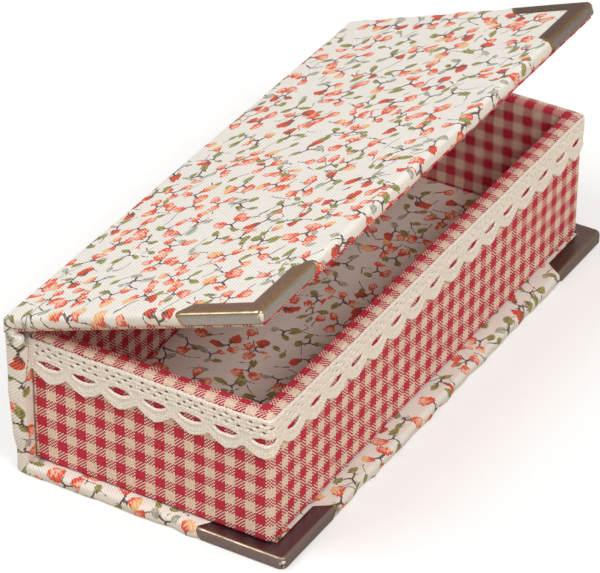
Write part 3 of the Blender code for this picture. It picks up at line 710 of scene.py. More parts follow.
def cover_stations():
    """Places along the cloth from the front of the base round to the front of the lid.

    Each holds the outer point, the inner point that the turned-in ends reach, how far the sheet stands out
    from the front of its case, how far in from that front a turn-in lies, and whether it is on the lid.
    """
    stations = []
    radius, bulge = EDGE_RADIUS, SPINE_TOP_BULGE

    def add(outer, inside=None, out=None, inward=None, on_lid=False):
        stations.append((outer, inside, out, inward, on_lid))

    def add_front(front, low, high, on_lid=False):
        for height, turn in ((high - radius, QUARTER), (low + radius, 2 * QUARTER)):
            for y, z in arc((front + radius, height), radius, turn, turn + QUARTER):
                add((y, z), out=front + radius - y, on_lid=on_lid)

    front, back, inner, top = BASE_LOW.y, SPINE_HIGH.y, SPINE_LOW.y, TRAY_HIGH.z
    for y in even(front + TURN_IN, front + radius, CLOTH_STEP):
        add((y, CASE), inward=y - front)
    add_front(front, 0.0, CASE)
    for y in even(front + radius, back - SPINE_FOOT_RADIUS, CLOTH_STEP):
        add((y, 0.0), (min(y, inner), CASE))
    foot = (back - SPINE_FOOT_RADIUS, SPINE_FOOT_RADIUS)
    for place in arc(foot, SPINE_FOOT_RADIUS, -QUARTER, 0.0, 2 * ARC_STEPS):
        add(place, (inner, CASE))
    for z in even(SPINE_FOOT_RADIUS, top - 0.6, CLOTH_STEP)[1:]:
        add((back + spine_bulge(z), z), (inner, max(z, CASE)))
    add((back + bulge, top - 0.3), (inner + 0.4, top))
    add((back + bulge - 0.05, top), (HINGE.y - AXIS_GAP, top))
    add((back + bulge - 0.12, HINGE.z), (HINGE.y - AXIS_GAP, HINGE.z))

    front, back, inner = LID_LOW.y, LID_HIGH.y, LID_HIGH.y - CASE
    under, over, turn_foot = LINING_DEPTH, LID_HIGH.z, 0.8
    add((back + bulge - 0.05, 0.35), (-AXIS_GAP, 0.5), on_lid=True)
    add((back + bulge, turn_foot), (-AXIS_GAP, under), on_lid=True)
    for share in (0.35, 0.7, 1.0):
        outer = (back + bulge * (1 - 0.5 * share), turn_foot + (over - radius - turn_foot) * share)
        add(outer, (-AXIS_GAP + (inner + AXIS_GAP) * share, under), on_lid=True)
    for place in arc((back - radius + bulge / 2, over - radius), radius, 0.0, QUARTER):
        add(place, (inner, under), on_lid=True)
    for y in even(back - radius, front + radius, CLOTH_STEP)[1:]:
        add((y, over), (min(y, inner), under), on_lid=True)
    add_front(front, under, over, on_lid=True)
    for y in even(front + radius, front + TURN_IN, CLOTH_STEP)[1:]:
        add((y, under), inward=y - front, on_lid=True)
    return stations


def end_path():
    """The way of the cloth round an end: steps of length and depth, both from the end's face."""
    radius = EDGE_RADIUS
    path = [(radius, 0.0)]
    path += arc((radius, radius), radius, 3 * QUARTER, 2 * QUARTER)
    path += [(0.0, depth) for depth in even(radius, CASE - radius, 0.6)[1:]]
    path += arc((radius, CASE - radius), radius, 2 * QUARTER, QUARTER)
    path += [(inward, CASE) for inward in even(radius, TURN_IN, CLOTH_STEP)[1:]]
    return path


def cover_columns():
    """Columns across the cloth (side, place, step round an end), and where each lies on the flat cloth."""
    wraps, core = end_path(), HALF_LENGTH - EDGE_RADIUS
    middle, steps = even(-core, core, CLOTH_STEP), distances(wraps)[1:]
    columns = [(-1, None, wrap) for wrap in wraps[:0:-1]]
    columns += [(0, x, None) for x in middle]
    columns += [(1, None, wrap) for wrap in wraps[1:]]
    return columns, [-core - step for step in steps[::-1]] + middle + [core + step for step in steps]


def cover_point(station, side, x, wrap):
    """A point of the cover cloth in the frame of its case."""
    (y, z), inside, out, inward, _ = station
    core = HALF_LENGTH - EDGE_RADIUS
    if wrap is None:
        limit = core if inward is None else HALF_LENGTH - inward
        return max(-limit, min(limit, x)), y, z
    along, depth = wrap
    if inside is not None:
        share = depth / CASE
        return side * (HALF_LENGTH - along), y + (inside[0] - y) * share, z + (inside[1] - z) * share
    if inward is not None:
        return side * (HALF_LENGTH - inward), y, z
    turn = min(depth / EDGE_RADIUS, 1.0) * QUARTER
    return side * (core + out * math.sin(turn)), y + out * (1 - math.cos(turn)), z


def under_metal(x, y, front, grown):
    """How far inside the plate of a metal corner a point in plan lies. Below zero it is outside."""
    along_x = HALF_LENGTH + PROUD - abs(x)
    along_y = y - front + PROUD
    arms = []
    for length, width in ((along_x, along_y), (along_y, along_x)):
        tip = LEG - END_SLANT * max(width - CREASE, 0.0) / (ARM - CREASE)
        arms.append(min(ARM + grown - width, tip + grown - length))
    return max(arms)


def cover_relief(point, normal, front, seed):
    """How far the cloth stands out from its even shape: soft waves, full edges, and pinched under metal."""
    x, y, z = point
    edge = HALF_LENGTH - abs(x)
    if front is not None:
        edge = min(edge, y - front)
    at_edge = max(0.0, 1.0 - max(edge, 0.0) / EDGE_REACH)
    rise = cloud(x + seed, y, z, CLOTH_WAVE_SIZE) * CLOTH_WAVE
    rise += at_edge * (cloud(x * 1.2 + seed, y * 1.2, z, EDGE_WAVE_SIZE) * EDGE_WAVE + EDGE_FULL)
    if seed == BASE_SEED:
        rise += at_edge * cloud(x, y, z + 30.0, BASE_EDGE_WAVE_SIZE) * BASE_EDGE_WAVE
    if front is None or edge > LEG or abs(x) < HALF_LENGTH - LEG - 2 or y - front > LEG + 2:
        return rise
    inside = under_metal(x, y, front, GLUE)
    if inside > 0:
        depth = METAL + 0.15 if normal.z < -0.5 else PINCH
        return -depth * min(inside / PINCH_REACH, 1.0)
    return rise + 0.08 * max(0.0, 1.0 + inside / 2.0)


def cover_shape(stations, columns):
    """The points of the whole cloth with its relief, in the frame of the model."""
    points = [[Vector(cover_point(station, *column)) for column in columns] for station in stations]
    grid = np.array([[tuple(point) for point in row] for row in points])
    normals = np.cross(np.gradient(grid, axis=0), np.gradient(grid, axis=1))
    lengths = np.linalg.norm(normals, axis=2, keepdims=True)
    normals = np.where(lengths > 1e-9, normals / np.maximum(lengths, 1e-9), 0.0)
    for row, ((outer_y, _), inside, _, _, on_lid) in enumerate(stations):
        on_spine = not on_lid and outer_y > SPINE_LOW.y
        front = None if on_spine else LID_LOW.y if on_lid else BASE_LOW.y
        for column, point in enumerate(points[row]):
            normal = Vector(normals[row, column])
            lift = cover_relief(point, normal, front, LID_SEED if on_lid else BASE_SEED)
            if not on_lid and inside is not None and abs(point.z - HINGE.z) < HINGE_CALM:
                lift *= HINGE_WAVE_SHARE
            point += normal * lift
            if not on_lid:
                point.z = max(point.z, 0.0)
            grid[row, column] = LID_TURN @ point if on_lid else point
    return grid


def build_cover(material):
    stations = cover_stations()
    columns, flat_x = cover_columns()
    outline = [(HINGE.y + y, HINGE.z + z) if on_lid else (y, z) for (y, z), _, _, _, on_lid in stations]
    run = distances(outline)
    places = np.array([[(x, length) for x in flat_x] for length in run])
    mesh = grid_mesh("cover_cloth", cover_shape(stations, columns), places)
    cloth = new_object("cover_cloth", mesh, material, CLOTH)
    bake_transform(cloth)
    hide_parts("base_cover_cloth", "spine_cover_cloth", "hinge_cloth", "lid_cover_cloth")


# Hinge lining: a strip from inside the spine over its top and under the lid

def build_hinge_strip(material):
    inner, top, under = SPINE_LOW.y, TRAY_HIGH.z, LINING_DEPTH - 0.02
    half = HALF_LENGTH - TURN_IN - GLUE
    on_box = [(inner - 0.02, top - STRIP_ON_SPINE), (inner - 0.02, top - 0.3)]
    on_box += [(inner + 0.25, top), (HINGE.y - STRIP_GAP, top)]
    path = [Vector((0.0, y, z)) for y, z in on_box]
    path += [LID_TURN @ Vector((0.0, y, under)) for y in (-STRIP_GAP, -STRIP_ON_LID)]
    dense = [path[0]]
    for start, end in zip(path, path[1:]):
        for share in even(0.0, 1.0, 0.6 / max((end - start).length, 0.6))[1:]:
            dense.append(start.lerp(end, share))
    run = distances(dense)
    columns = even(-half, half, 4.0)
    points = np.array([[(x, point.y, point.z) for x in columns] for point in dense])
    places = np.array([[(x, length + STRIP_PRINT_PLACE) for x in columns] for length in run])
    strip = new_object("hinge_strip", grid_mesh("hinge_strip", points, places), material)
    start, end = [(0.0, HINGE.y * MM, (HINGE.z + height) * MM) for height in (-0.25, 0.6)]
    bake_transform(strip)
    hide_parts("hinge_lining")


# Tray cloth: one gingham sheet up the walls, over the rim and down inside

def tray_profile():
    """Distance in from the outer face and height, from under the tray to the floor inside."""
    low, high, foot = TRAY_LOW.z, TRAY_HIGH.z, TRAY_FOOT
    rim = high - RIM_RADIUS
    profile = [(w, low) for w in even(TURN_IN, foot, CLOTH_STEP)]
    profile += arc((foot, low + foot), foot, -QUARTER, -2 * QUARTER, 3)
    profile += [(0.0, z) for z in even(low + foot, rim, CLOTH_STEP)[1:]]
    profile += arc((RIM_RADIUS, rim), RIM_RADIUS, 2 * QUARTER, QUARTER)
    profile += [(w, high) for w in even(RIM_RADIUS, WALL - RIM_RADIUS, 0.6)[1:]]
    profile += arc((WALL - RIM_RADIUS, rim), RIM_RADIUS, QUARTER, 0.0)
    floor = node_box("tray_floor_board")[1].z + GLUE + CLOTH
    profile += [(WALL, z) for z in even(rim, floor + 0.4, CLOTH_STEP)[1:]]
    profile += [(WALL + 0.12, floor + 0.12), (WALL + 0.4, floor)]
    profile += [(WALL + w, floor) for w in even(0.4, FLOOR_TURN_IN, CLOTH_STEP)[1:]]
    return profile


def ring_radius(inward):
    """The plan radius of the corners: tight in the middle of the rim, wider inside and outside."""
    return float(np.interp(inward, (0.0, WALL / 2, WALL), (TRAY_CORNER, RIM_CORNER, INNER_CORNER)))


def straight_run(side, inward):
    """Half the straight length of a wall, between its corners."""
    return TRAY_HALF[(side + 1) % 2] - inward - ring_radius(inward)


def tray_columns():
    """Columns round the walls: each on a wall, by its share of it, or in the corner after it, by its turn."""
    columns = []
    for side in range(4):
        shares = even(-1.0, 1.0, TRAY_STEP / TRAY_HALF[(side + 1) % 2])[:-1]
        columns += [("wall", side, share) for share in shares]
        columns += [("corner", side, turn) for turn in np.linspace(0.0, QUARTER, 9)[:-1]]
    return columns


def tray_point(column, inward):
    """A point in plan, with its distance along the cloth from the middle of its wall."""
    kind, side, value = column
    ahead, radius = OUTWARD[(side + 1) % 4], ring_radius(inward)
    reach, run = TRAY_HALF[side % 2] - inward, straight_run(side, inward)
    if kind == "wall":
        along = run * value
        point = OUTWARD[side] * reach + ahead * along
    else:
        along = run + radius * value
        point = OUTWARD[side] * (reach - radius + radius * math.cos(value))
        point += ahead * (run + radius * math.sin(value))
    return point.x, point.y + TRAY_MIDDLE_Y, along


def tray_place(side, along):
    """Where on the cloth a point of a wall lies, so that the checks stand as on the real box."""
    return {
        0: along + TRAY_MIDDLE_Y - GINGHAM_END_PHASE,
        1: along,
        2: TRAY_MIDDLE_Y - along - GINGHAM_END_PHASE,
        3: along - GINGHAM_FRONT_PHASE,
    }[side]


def rim_fold(x, y):
    """The small fold that the cloth makes on the rim at each corner."""
    in_x, in_y = TRAY_HALF[0] - abs(x), TRAY_HALF[1] - abs(y - TRAY_MIDDLE_Y)
    near = math.exp(-((in_x - in_y) / 0.8) ** 2) * math.exp(-((in_x + in_y - 5.0) / 4.0) ** 2)
    return RIM_FOLD * near


def tray_relief(x, y, z, inward):
    """A point of the tray's cloth with the cloth's waves: upward on the rim, outward on the walls."""
    outward = Vector((x, y - TRAY_MIDDLE_Y, 0.0)).normalized()
    swell = cloud(x, y, z, TRAY_WAVE_SIZE) * TRAY_WAVE
    point = Vector((x, y, z))
    if z > TRAY_HIGH.z - RIM_RADIUS * 0.5:
        point.z += cloud(x, y, 3.0, RIM_WAVE_SIZE) * RIM_WAVE - 0.05 + rim_fold(x, y)
    elif inward <= 0:
        point += outward * swell
    elif inward <= WALL:
        point -= outward * (swell - 0.05)
    return point


def build_tray_cloth(material):
    profile, columns = tray_profile(), tray_columns()
    run = distances(profile)
    start = [inward for inward, _ in profile].index(0.0)
    rows = [length - run[start] + profile[start][1] - GINGHAM_ROW_PHASE for length in run]
    grid = [[tray_point(column, inward) for column in columns] for inward, _ in profile]
    bm = bmesh.new()
    layer = bm.loops.layers.uv.new("UVMap")
    vertices = []
    for (inward, z), ring in zip(profile, grid):
        vertices.append([bm.verts.new(tray_relief(x, y, z, inward) * MM) for x, y, _ in ring])
    for corners in cells(len(profile), len(columns), closed=True):
        kind, side, value = columns[corners[0][1]]
        counted = (side + 1) % 4 if kind == "corner" and value >= QUARTER / 2 else side
        places = []
        for row, column in corners:
            along, (_, own_side, turn) = grid[row][column][2], columns[column]
            if own_side != counted:
                inward = profile[row][0]
                along = -straight_run(counted, inward) - ring_radius(inward) * (QUARTER - turn)
            places.append((tray_place(counted, along), rows[row]))
        add_face(bm, layer, [vertices[row][column] for row, column in corners], places)
    cloth = new_object("tray_cloth", new_mesh(bm, "tray_cloth"), material, CLOTH)
    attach(cloth, "box")
    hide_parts("tray_wall_cloth")


# Linings: a card wrapped in cloth

def wrapped(half, depth):
    """The section of a lining from edge to edge: place and depth below its face."""
    radius, edge = CARD_RADIUS, CARD_RADIUS - half
    path = [(CARD_TURN_IN - half, depth), (edge, depth)]
    path += arc((edge, depth - radius), radius, QUARTER, 2 * QUARTER, 2)
    path += arc((edge, radius), radius, 2 * QUARTER, 3 * QUARTER, 3)
    flat = [(value, 0.0) for value in even(edge, -edge, 3.0)[1:-1]]
    return path + flat + [(-value, drop) for value, drop in path[::-1]]


def centred(path):
    """Distances along a path, counted from its middle."""
    run = distances(path)
    return [length - run[-1] / 2 for length in run]


def build_lining(name, node, material, phase, on_lid=False):
    """The cloth of a flat lining: its face, its four edges and the part turned in behind."""
    low, high = node_box(node, closed=on_lid)
    depth, middle, half = high.z - low.z, (low + high) / 2, (high - low) / 2
    path_x, path_y = wrapped(half.x, depth), wrapped(half.y, depth)
    flat_x, flat_y = centred(path_x), centred(path_y)
    points = np.zeros((len(path_y), len(path_x), 3))
    for row, (y, drop_y) in enumerate(path_y):
        for column, (x, drop_x) in enumerate(path_x):
            drop, swell = max(drop_x, drop_y), 0.0
            if drop_x > 0 and drop_y >= depth - 1e-6:
                inset = min(max(half.x - abs(x), half.y - abs(y)), CARD_TURN_IN)
                x = math.copysign(min(abs(x), half.x - inset), x)
            if drop == 0:
                edge = min(half.x - abs(x), half.y - abs(y))
                swell = 0.1 * math.exp(-edge / 2.5) + cloud(x, y, depth * 9, 22.0) * 0.07 - 0.05
            z = low.z + drop - swell if on_lid else high.z - drop + swell
            points[row, column] = (middle.x + x, middle.y + y, z)
    shift_x, shift_y = middle.x - phase[0], middle.y - phase[1]
    places = np.array([[(x + shift_x, y + shift_y) for x in flat_x] for y in flat_y])
    if on_lid:
        points = np.array([[LID_TURN @ Vector(point) for point in row] for row in points])
    mesh = grid_mesh(name, points, places)
    if on_lid:
        mesh.flip_normals()
    cloth = new_object(name, mesh, material)
    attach(cloth, "lid" if on_lid else "box")
    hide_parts(node)


# Metal corners

def metal_section():
    """The outer face of the folded sheet: (distance in from the outer edge, height, setback, wear and painted
    light, side).
    """
    height, shoulder = METAL_HEIGHT, METAL_HEIGHT - CREASE
    section = []
    for w in even(ARM, CREASE, 0.7):
        wear_and_painted_light = max(0.9 * math.exp(-(ARM - w) / 0.6), 0.65 * math.exp(-(w - CREASE) / 0.8))
        dip = 0.1 * max(0.0, 1.0 - (ARM - w) / 0.5)
        section.append((w, height - dip, END_SLANT * (w - CREASE) / (ARM - CREASE), wear_and_painted_light, 0.0))
    # The crease: golden wear, a pale painted highlight and below it a line of painted shade.
    fold = arc((CREASE, shoulder), CREASE, QUARTER, 2 * QUARTER, len(CREASE_WEAR_AND_LIGHT))
    for number, (w, z) in enumerate(fold):
        section.append((w, z, 0.0, CREASE_WEAR_AND_LIGHT[number], ((number + 1) / len(fold)) ** 2))
    for z in even(shoulder, CREASE_FOOT, 0.4)[1:]:
        share = (shoulder - z) / (shoulder - CREASE_FOOT)
        section.append((0.0, z, FLANGE_SLANT * share ** 2, 0.0, 1.0))
    # The foot fold gets a dark line of painted shade.
    fold = arc((CREASE_FOOT, CREASE_FOOT), CREASE_FOOT, 2 * QUARTER, 3 * QUARTER, 4)
    for number, (w, z) in enumerate(fold):
        section.append((w, z, FLANGE_SLANT, -0.25, 1.0 - (number + 1) / len(fold)))
    for w in even(CREASE_FOOT, ARM, 0.7)[1:]:
        slant = FLANGE_SLANT + (END_SLANT - FLANGE_SLANT) * (w - CREASE_FOOT) / (ARM - CREASE_FOOT)
        section.append((w, z, slant, 0.85 if w == ARM else 0.0, 0.0))
    return section


def seam_gap(z):
    """Half the width of the open seam at the upright corner, in millimetres along the corner."""
    low, high = CREASE_FOOT * 0.9, METAL_HEIGHT - CREASE * 1.05
    if not low < z < high:
        return 0.0
    share = (z - low) / (high - low)
    return (SEAM_FOOT + (SEAM_TOP - SEAM_FOOT) * share) / 2 * min(1.0, (high - z) / 0.25, (z - low) / 0.2)


def metal_columns():
    """Places round the corner: along one arm, round the corner with a doubled middle, along the other."""
    straight = even(0.0, 1.0, 1.0 / 14)
    columns = [("first", 1 - share) for share in straight[:-1]]
    columns += [(kind, share) for kind in ("turn", "after") for share in (0.0, 0.25, 0.5, 0.75, 1.0)]
    return columns + [("second", share) for share in straight[1:]]


def metal_plan(kind, share, w, z, setback):
    """A point in plan, from the outer corner, with both arms along positive axes."""
    radius, centre = max(PLAN_RADIUS - w, 0.0), max(w, PLAN_RADIUS)
    if kind in ("first", "second"):
        reach = centre + (LEG - setback - centre) * share
        return (w, reach) if kind == "first" else (reach, w)
    half_gap = seam_gap(z) / PLAN_RADIUS if w < PLAN_RADIUS else 0.0
    limit = QUARTER / 2 - half_gap
    turn = limit * share if kind == "turn" else QUARTER - limit * (1 - share)
    return centre - radius * math.cos(turn), centre - radius * math.sin(turn)


def build_metal(case, side):
    """One folded corner of the lid or the base, open along the seam at its upright edge."""
    label, on_lid = "left" if side < 0 else "right", case == "lid"
    section, columns = metal_section(), metal_columns()
    front = (LID_LOW.y if on_lid else BASE_LOW.y) - PROUD
    floor = LINING_DEPTH if on_lid else 0.0
    bm = bmesh.new()
    wear_and_painted_light_layer, side_layer = [bm.verts.layers.float.new(name) for name in ("wear_and_painted_light", "side")]
    grid = []
    for w, z, setback, wear_and_painted_light, is_side in section:
        open_here = seam_gap(z) > 0 and w < PLAN_RADIUS
        ring = []
        for number, (kind, share) in enumerate(columns):
            along_x, along_y = metal_plan(kind, share, w, z, setback)
            dent = cloud(along_x * 1.3, along_y * 1.3 + side * 30, z + 80 * on_lid, METAL_DENT_SIZE)
            dent *= METAL_DENT
            point = Vector((side * (HALF_LENGTH + PROUD - along_x), front + along_y, floor + z + dent))
            vertex = bm.verts.new((LID_TURN @ point if on_lid else point) * MM)
            # Each arm gets its own share of wear and painted light; the cut ends and the seam's edges get
            # golden wear.
            shares = END_WEAR_AND_LIGHT_SHARES if kind in ("first", "turn") else FRONT_WEAR_AND_LIGHT_SHARES
            at_end = number in (0, len(columns) - 1)
            at_seam = open_here and (kind, share) in (("turn", 1.0), ("after", 0.0))
            vertex[wear_and_painted_light_layer] = 0.8 if at_end or at_seam else wear_and_painted_light * shares[case, side] if wear_and_painted_light > 0 else wear_and_painted_light
            vertex[side_layer] = is_side
            ring.append(vertex)
        grid.append(ring)
    middle = columns.index(("turn", 1.0))
    for corners in cells(len(section), len(columns)):
        row, column = corners[0]
        gap = max(seam_gap(section[row][1]), seam_gap(section[row + 1][1]))
        if column == middle and gap > 0 and section[row][0] < PLAN_RADIUS:
            continue
        vertices = [grid[r][c] for r, c in corners]
        bm.faces.new(vertices if side > 0 else vertices[::-1])
    join_near(bm, 0.004, 0.004)
    name = f"{case}_metal_{label}"
    material = bronze_material(f"{case}_bronze_{label}", case, side)
    plate = new_object(name, new_mesh(bm, name), material, METAL)
    bevel = plate.modifiers.new("Edges", "BEVEL")
    bevel.width = METAL_BEVEL * MM
    bevel.segments = 2
    bevel.limit_method = "ANGLE"
    bevel.angle_limit = math.radians(50)
    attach(plate, "lid" if on_lid else "box")
    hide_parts(f"{case}_corner_{label}")


# Lace band

def lace_along(count):
    """Distance along the band of a place counted in scallops, as the photo shows them on end and front."""
    front_first = LACE_END_RUN + LACE_TURN + FRONT_FIRST - TRAY_CORNER
    marks = {
        -1: END_FIRST - END_STEP,
        6: END_FIRST + 6 * END_STEP,
        8: front_first,
        22: front_first + 14 * FRONT_STEP,
        24: LACE_LENGTH - END_FIRST - 6 * END_STEP,
        31: LACE_LENGTH - END_FIRST + END_STEP,
    }
    return float(np.interp(count, list(marks), list(marks.values())))


def lace_top(along):
    """The height of the band's upper edge: lower on the ends than on the front."""
    from_end = min(along, LACE_LENGTH - along) - LACE_END_RUN
    front = float(np.interp(from_end, (-4, 6), (0, 1)))
    wave = cloud(along, 0.0, 5.0, LACE_TOP_WAVE_SIZE) * LACE_TOP_WAVE
    return TRAY_HIGH.z - LACE_TOP_DROP + LACE_FRONT_LIFT * front + wave


def lace_place(along, out):
    """A point in plan so far out from the wall."""
    side = -1 if along < LACE_LENGTH / 2 else 1
    past = abs(along - LACE_LENGTH / 2) - LACE_FRONT_RUN / 2
    radius = TRAY_CORNER + out
    x, y = TRAY_HALF[0] - TRAY_CORNER, TRAY_LOW.y + TRAY_CORNER
    if past <= 0:
        return side * (x + past), y - radius
    turn = min(past / LACE_TURN_RADIUS, QUARTER)
    y += max(past - LACE_TURN, 0.0)
    return side * (x + radius * math.sin(turn)), y - radius * math.cos(turn)


def lobe_edge(u):
    """How far below the upper edge the scalloped edge lies, over one scallop."""
    swing = 1.0 - abs(1.0 - 2.0 * u / LACE_CELL) ** 1.45
    return NOTCH_DROP + (LOBE_DROP - NOTCH_DROP) * swing


def top_edge(u):
    """The small teeth of the upper edge."""
    return -TOP_TOOTH * abs(math.sin(math.pi * u / (LACE_CELL / TEETH)))


def eyelet_outline():
    """The eyelet: nearly straight above, full below, with drawn-out ends."""
    outline = []
    for turn in np.linspace(0.0, 4 * QUARTER, 33)[:-1]:
        across, swing = math.cos(turn), math.sin(turn)
        height = abs(swing) ** 1.5 * (EYELET_RISE if swing > 0 else -EYELET_FALL)
        outline.append(Vector((LACE_CELL / 2 + EYELET_HALF * across, EYELET_DROP - height)))
    return outline


def small_holes():
    """Centres of the small holes in one scallop's length."""
    holes = []
    for drop, shift in HOLE_ROWS:
        for number in range(HOLES_IN_ROW):
            u = (number + 0.5 + shift) % HOLES_IN_ROW * LACE_CELL / HOLES_IN_ROW
            if 0.5 < u < LACE_CELL - 0.5:
                holes.append((u, drop))
    return holes


def inside_loop(u, v, loop):
    """True if a flat point lies inside a closed outline."""
    inside = False
    for a, b in zip(loop, loop[1:] + loop[:1]):
        if (a.y > v) != (b.y > v) and u < (b.x - a.x) * (v - a.y) / (b.y - a.y) + a.x:
            inside = not inside
    return inside


def in_lace(u, v, eyelet, holes):
    """True if a flat point of a scallop lies on the lace, outside its holes."""
    half_u, half_v = [half * 0.93 for half in HOLE_HALF]
    if any(((u - hu) / half_u) ** 2 + ((v - hv) / half_v) ** 2 < 1 for hu, hv in holes):
        return False
    return top_edge(u) < v < lobe_edge(u) and not inside_loop(u, v, eyelet)


def lace_cell(eyelet, holes):
    """Flat points and triangles over one scallop, with its holes left out."""
    columns, row_step = even(0.0, LACE_CELL, LACE_GRID), LACE_GRID * 0.87
    vertices, edges = [], []

    def close(loop):
        start = len(vertices)
        vertices.extend(Vector(point) for point in loop)
        edges.extend((start + number, start + (number + 1) % len(loop)) for number in range(len(loop)))

    upper = [(u, top_edge(u)) for u in columns]
    lower = [(u, lobe_edge(u)) for u in columns]
    side = [NOTCH_DROP * share for share in np.linspace(0.0, 1.0, 26)[1:-1]]
    close(upper + [(LACE_CELL, v) for v in side] + lower[::-1] + [(0.0, v) for v in side[::-1]])
    close(eyelet)
    turns = np.linspace(0, 4 * QUARTER, 9)[:-1]
    for u, v in holes:
        close([(u + HOLE_HALF[0] * math.cos(turn), v + HOLE_HALF[1] * math.sin(turn)) for turn in turns])
    for u in columns[1:-1]:
        for v in even(0.2, LOBE_DROP, row_step):
            u_here = u + (LACE_GRID / 2 if round(v / row_step) % 2 else 0.0)
            if 0.2 < u_here < LACE_CELL - 0.2 and 0.15 < v < lobe_edge(u_here) - 0.15:
                vertices.append(Vector((u_here, v)))
    found, _, faces, _, _, _ = delaunay_2d_cdt(vertices, edges, [], 0, 1e-4)
    kept = []
    for face in faces:
        centre = sum((found[number] for number in face), Vector((0.0, 0.0))) / 3
        if in_lace(*centre, eyelet, holes):
            kept.append(tuple(face))
    return [tuple(point) for point in found], kept


def ridge(distance, place, width):
    return math.exp(-((distance - place) / width) ** 2)


def lace_relief(u, v, eyelet, holes):
    """How thick the lace is at a flat point, from 0 to 1: cords, stitches and sunk edges."""
    height = 0.5
    for number, row in enumerate(CORD_ROWS):
        lean = 0.45 if number % 2 else -0.45
        ply = (u + lean * (v - row)) / (LACE_CELL / 8) + number * 0.5
        height += CORD_RIDGE * ridge(v, row, CORD_WIDTH) * (0.62 + 0.38 * math.cos(2 * math.pi * ply))
    felt = 0.12 * cloud(u * 1.6, v, 4.0, 0.9) * min(max(v - 4.5, 0.0), 1.0)
    height += felt * math.sin(math.pi * u / LACE_CELL)
    from_eyelet = min(math.hypot(u - point.x, v - point.y) for point in eyelet)
    from_edge = lobe_edge(u) - v
    height += 0.25 * ridge(from_eyelet, 0.55, 0.32)
    height += 0.32 * ridge(from_edge, 0.55, 0.35) + 0.2 * ridge(from_edge, 1.55, 0.3)
    sunk = min(from_eyelet, max(from_edge, 0.0), max(v - top_edge(u), 0.0) + 0.05)
    for hole in holes:
        sunk = min(sunk, max(math.dist((u, v), hole) - HOLE_HALF[0], 0.0) + 0.05)
    return height * min(1.0, 0.35 + sunk / 0.4)


def lace_corner(bm, along, v, thick):
    """The front and the back vertex of a point of the band, with its flat place."""
    moved = along + 0.26 * cloud(along, v, 2.0, 1.3) + 0.3 * cloud(along, v, 12.0, 4.0)
    moved = min(max(moved, 0.0), LACE_LENGTH)
    drop = v * (1.0 if v < 6 else 1.0 + 0.05 * cloud(moved, v, 9.0, 8.0))
    drop += 0.22 * cloud(along, v, 7.0, 1.3)
    curl = LACE_CURL * max(0.0, cloud(moved, 0.0, 0.0, LACE_CURL_SIZE)) * max(0.0, (v - 8.0) / 3.5)
    corner = []
    for out in (LACE_BACK + LACE_RELIEF * thick + curl, LACE_OFFSET + curl * 0.8):
        x, y = lace_place(moved, out)
        corner.append(bm.verts.new(Vector((x, y, lace_top(moved) - drop)) * MM))
    return (*corner, (along, v))


def add_scallop(bm, layer, made, points, faces):
    """Front, back and cut edges of one scallop. Its two ends stay open for the next one."""
    sides = []
    for face in faces:
        reach = [made[corner][2][0] for corner in face]
        if max(reach) <= 0.0 or min(reach) >= LACE_LENGTH:
            continue
        for which, order in ((0, face), (1, face[::-1])):
            add_face(bm, layer, [made[c][which] for c in order], [made[c][2] for c in order])
        sides += zip(face, face[1:] + face[:1])
    known = set(sides)
    for a, b in sides:
        ends = [sum(abs(points[c][0] - border) < 1e-3 for c in (a, b)) for border in (0.0, LACE_CELL)]
        if (b, a) not in known and 2 not in ends:
            corners = ((b, 0), (a, 0), (a, 1), (b, 1))
            add_face(bm, layer, [made[c][which] for c, which in corners], [made[c][2] for c, _ in corners])


def build_lace(material):
    eyelet, holes = eyelet_outline(), small_holes()
    points, faces = lace_cell(eyelet, holes)
    relief = [lace_relief(u, v, eyelet, holes) for u, v in points]
    bm = bmesh.new()
    layer = bm.loops.layers.uv.new("UVMap")
    for number in SCALLOPS:
        start = lace_along(number)
        stretch = (lace_along(number + 1) - start) / LACE_CELL
        made = [lace_corner(bm, start + u * stretch, v, thick) for (u, v), thick in zip(points, relief)]
        add_scallop(bm, layer, made, points, faces)
    join_near(bm, 0.01, 0.002)
    loose = [vertex for vertex in bm.verts if not vertex.link_faces]
    bmesh.ops.delete(bm, geom=loose, context="VERTS")
    lace = new_object("lace_band", new_mesh(bm, "lace_band"), material)
    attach(lace, "box")
    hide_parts("lace_trim")


# Stage

def background_share(graph):
    """1 for rays that show the backdrop: straight to the camera, by a reflection or through glass."""
    rays = [f"Is {kind} Ray" for kind in ("Camera", "Glossy", "Transmission")]
    camera, glossy, through = [graph.add("ShaderNodeLightPath", output=ray) for ray in rays]
    return camera.most(glossy).most(through)


def build_floor():
    place = (0.0, 0.0, CAD_BOUNDS[0][2] - 0.0001)
    bpy.ops.mesh.primitive_plane_add(size=FLOOR_SIZE, location=place)
    floor = bpy.context.object
    floor.name = "floor"
    graph = Material("floor", 0.9)
    shown = background_share(graph)
    graph.set("Base Color", shown.mix(FLOOR_TONE, SHOWN_FLOOR_TONE))
    graph.set("Emission Color", WHITE)
    graph.set("Emission Strength", shown * SHOWN_FLOOR_GLOW)
    floor.data.materials.append(graph.owner)


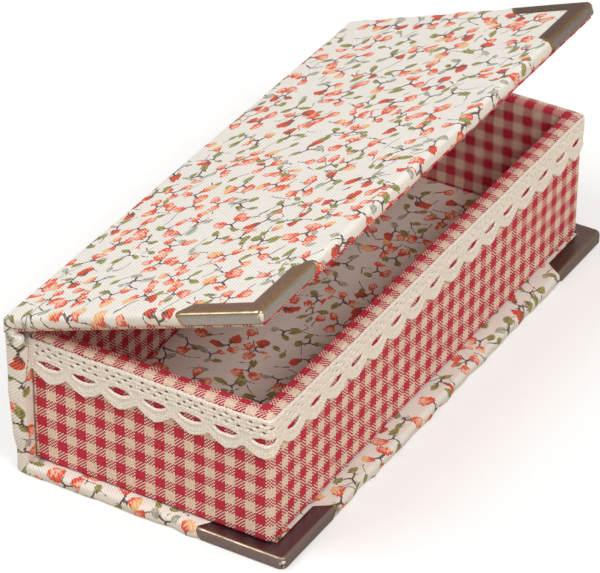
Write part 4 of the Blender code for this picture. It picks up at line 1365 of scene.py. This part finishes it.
def build_world():
    world = bpy.data.worlds.new("studio")
    graph = Graph(world)
    dome = graph.tree.nodes["Background"]
    dome.inputs["Color"].default_value = WHITE
    dome.inputs["Strength"].default_value = DOME_STRENGTH
    wall = graph.add("ShaderNodeBackground", {"Color": WHITE, "Strength": 1.0})
    inputs = {0: background_share(graph), 1: Value(graph, dome.outputs[0]), 2: wall}
    graph.feed(graph.tree.nodes["World Output"].inputs[0], graph.add("ShaderNodeMixShader", inputs))
    bpy.context.scene.world = world


def add_lamp(name, place, size, power, tint):
    data = bpy.data.lights.new(name, "AREA")
    data.shape = "DISK"
    data.size = size
    data.energy = power
    data.color = tint
    lamp = add_object(name, data)
    lamp.location = place
    lamp.rotation_euler = (Vector(LAMP_TARGET) - Vector(place)).to_track_quat("-Z", "Y").to_euler()


def build_camera():
    data = bpy.data.cameras.new("camera")
    data.sensor_fit = "HORIZONTAL"
    data.sensor_width = SENSOR
    data.lens = CAMERA_LENS
    data.clip_start = 0.01
    camera = add_object("camera", data)
    right, up = Vector(CAMERA_RIGHT), Vector(CAMERA_UP)
    axes = Matrix((right, up, right.cross(up))).transposed().to_4x4()
    camera.matrix_world = Matrix.Translation(Vector(CAMERA_PLACE) * MM) @ axes
    bpy.context.scene.camera = camera


def paint_boards():
    greyboard = board_material("greyboard", "7B746A", "A39B8E")
    card = board_material("lining_card", "BDB5A6", "DAD3C6")
    for node, item in frame["nodes"].items():
        if node.endswith(("_board", "_card")):
            item.data.materials.clear()
            item.data.materials.append(card if node.endswith("_card") else greyboard)


def main():
    build_camera()
    build_floor()
    build_world()
    for lamp in LAMPS:
        add_lamp(*lamp)
    floral, gingham = floral_material("floral_cloth"), gingham_material("gingham_cloth")
    build_cover(floral)
    build_hinge_strip(floral)
    build_tray_cloth(gingham)
    build_lining(
        "floor_cloth", "floor_lining_cloth", floral, FLOOR_PHASE
    )
    build_lining(
        "lid_lining", "lid_lining_cloth", gingham, LID_PHASE, on_lid=True
    )
    for side in (-1, 1):
        for case in ("base", "lid"):
            build_metal(case, side)
    build_lace(lace_material("lace"))
    paint_boards()
    bpy.context.scene.view_settings.view_transform = "Standard"


main()
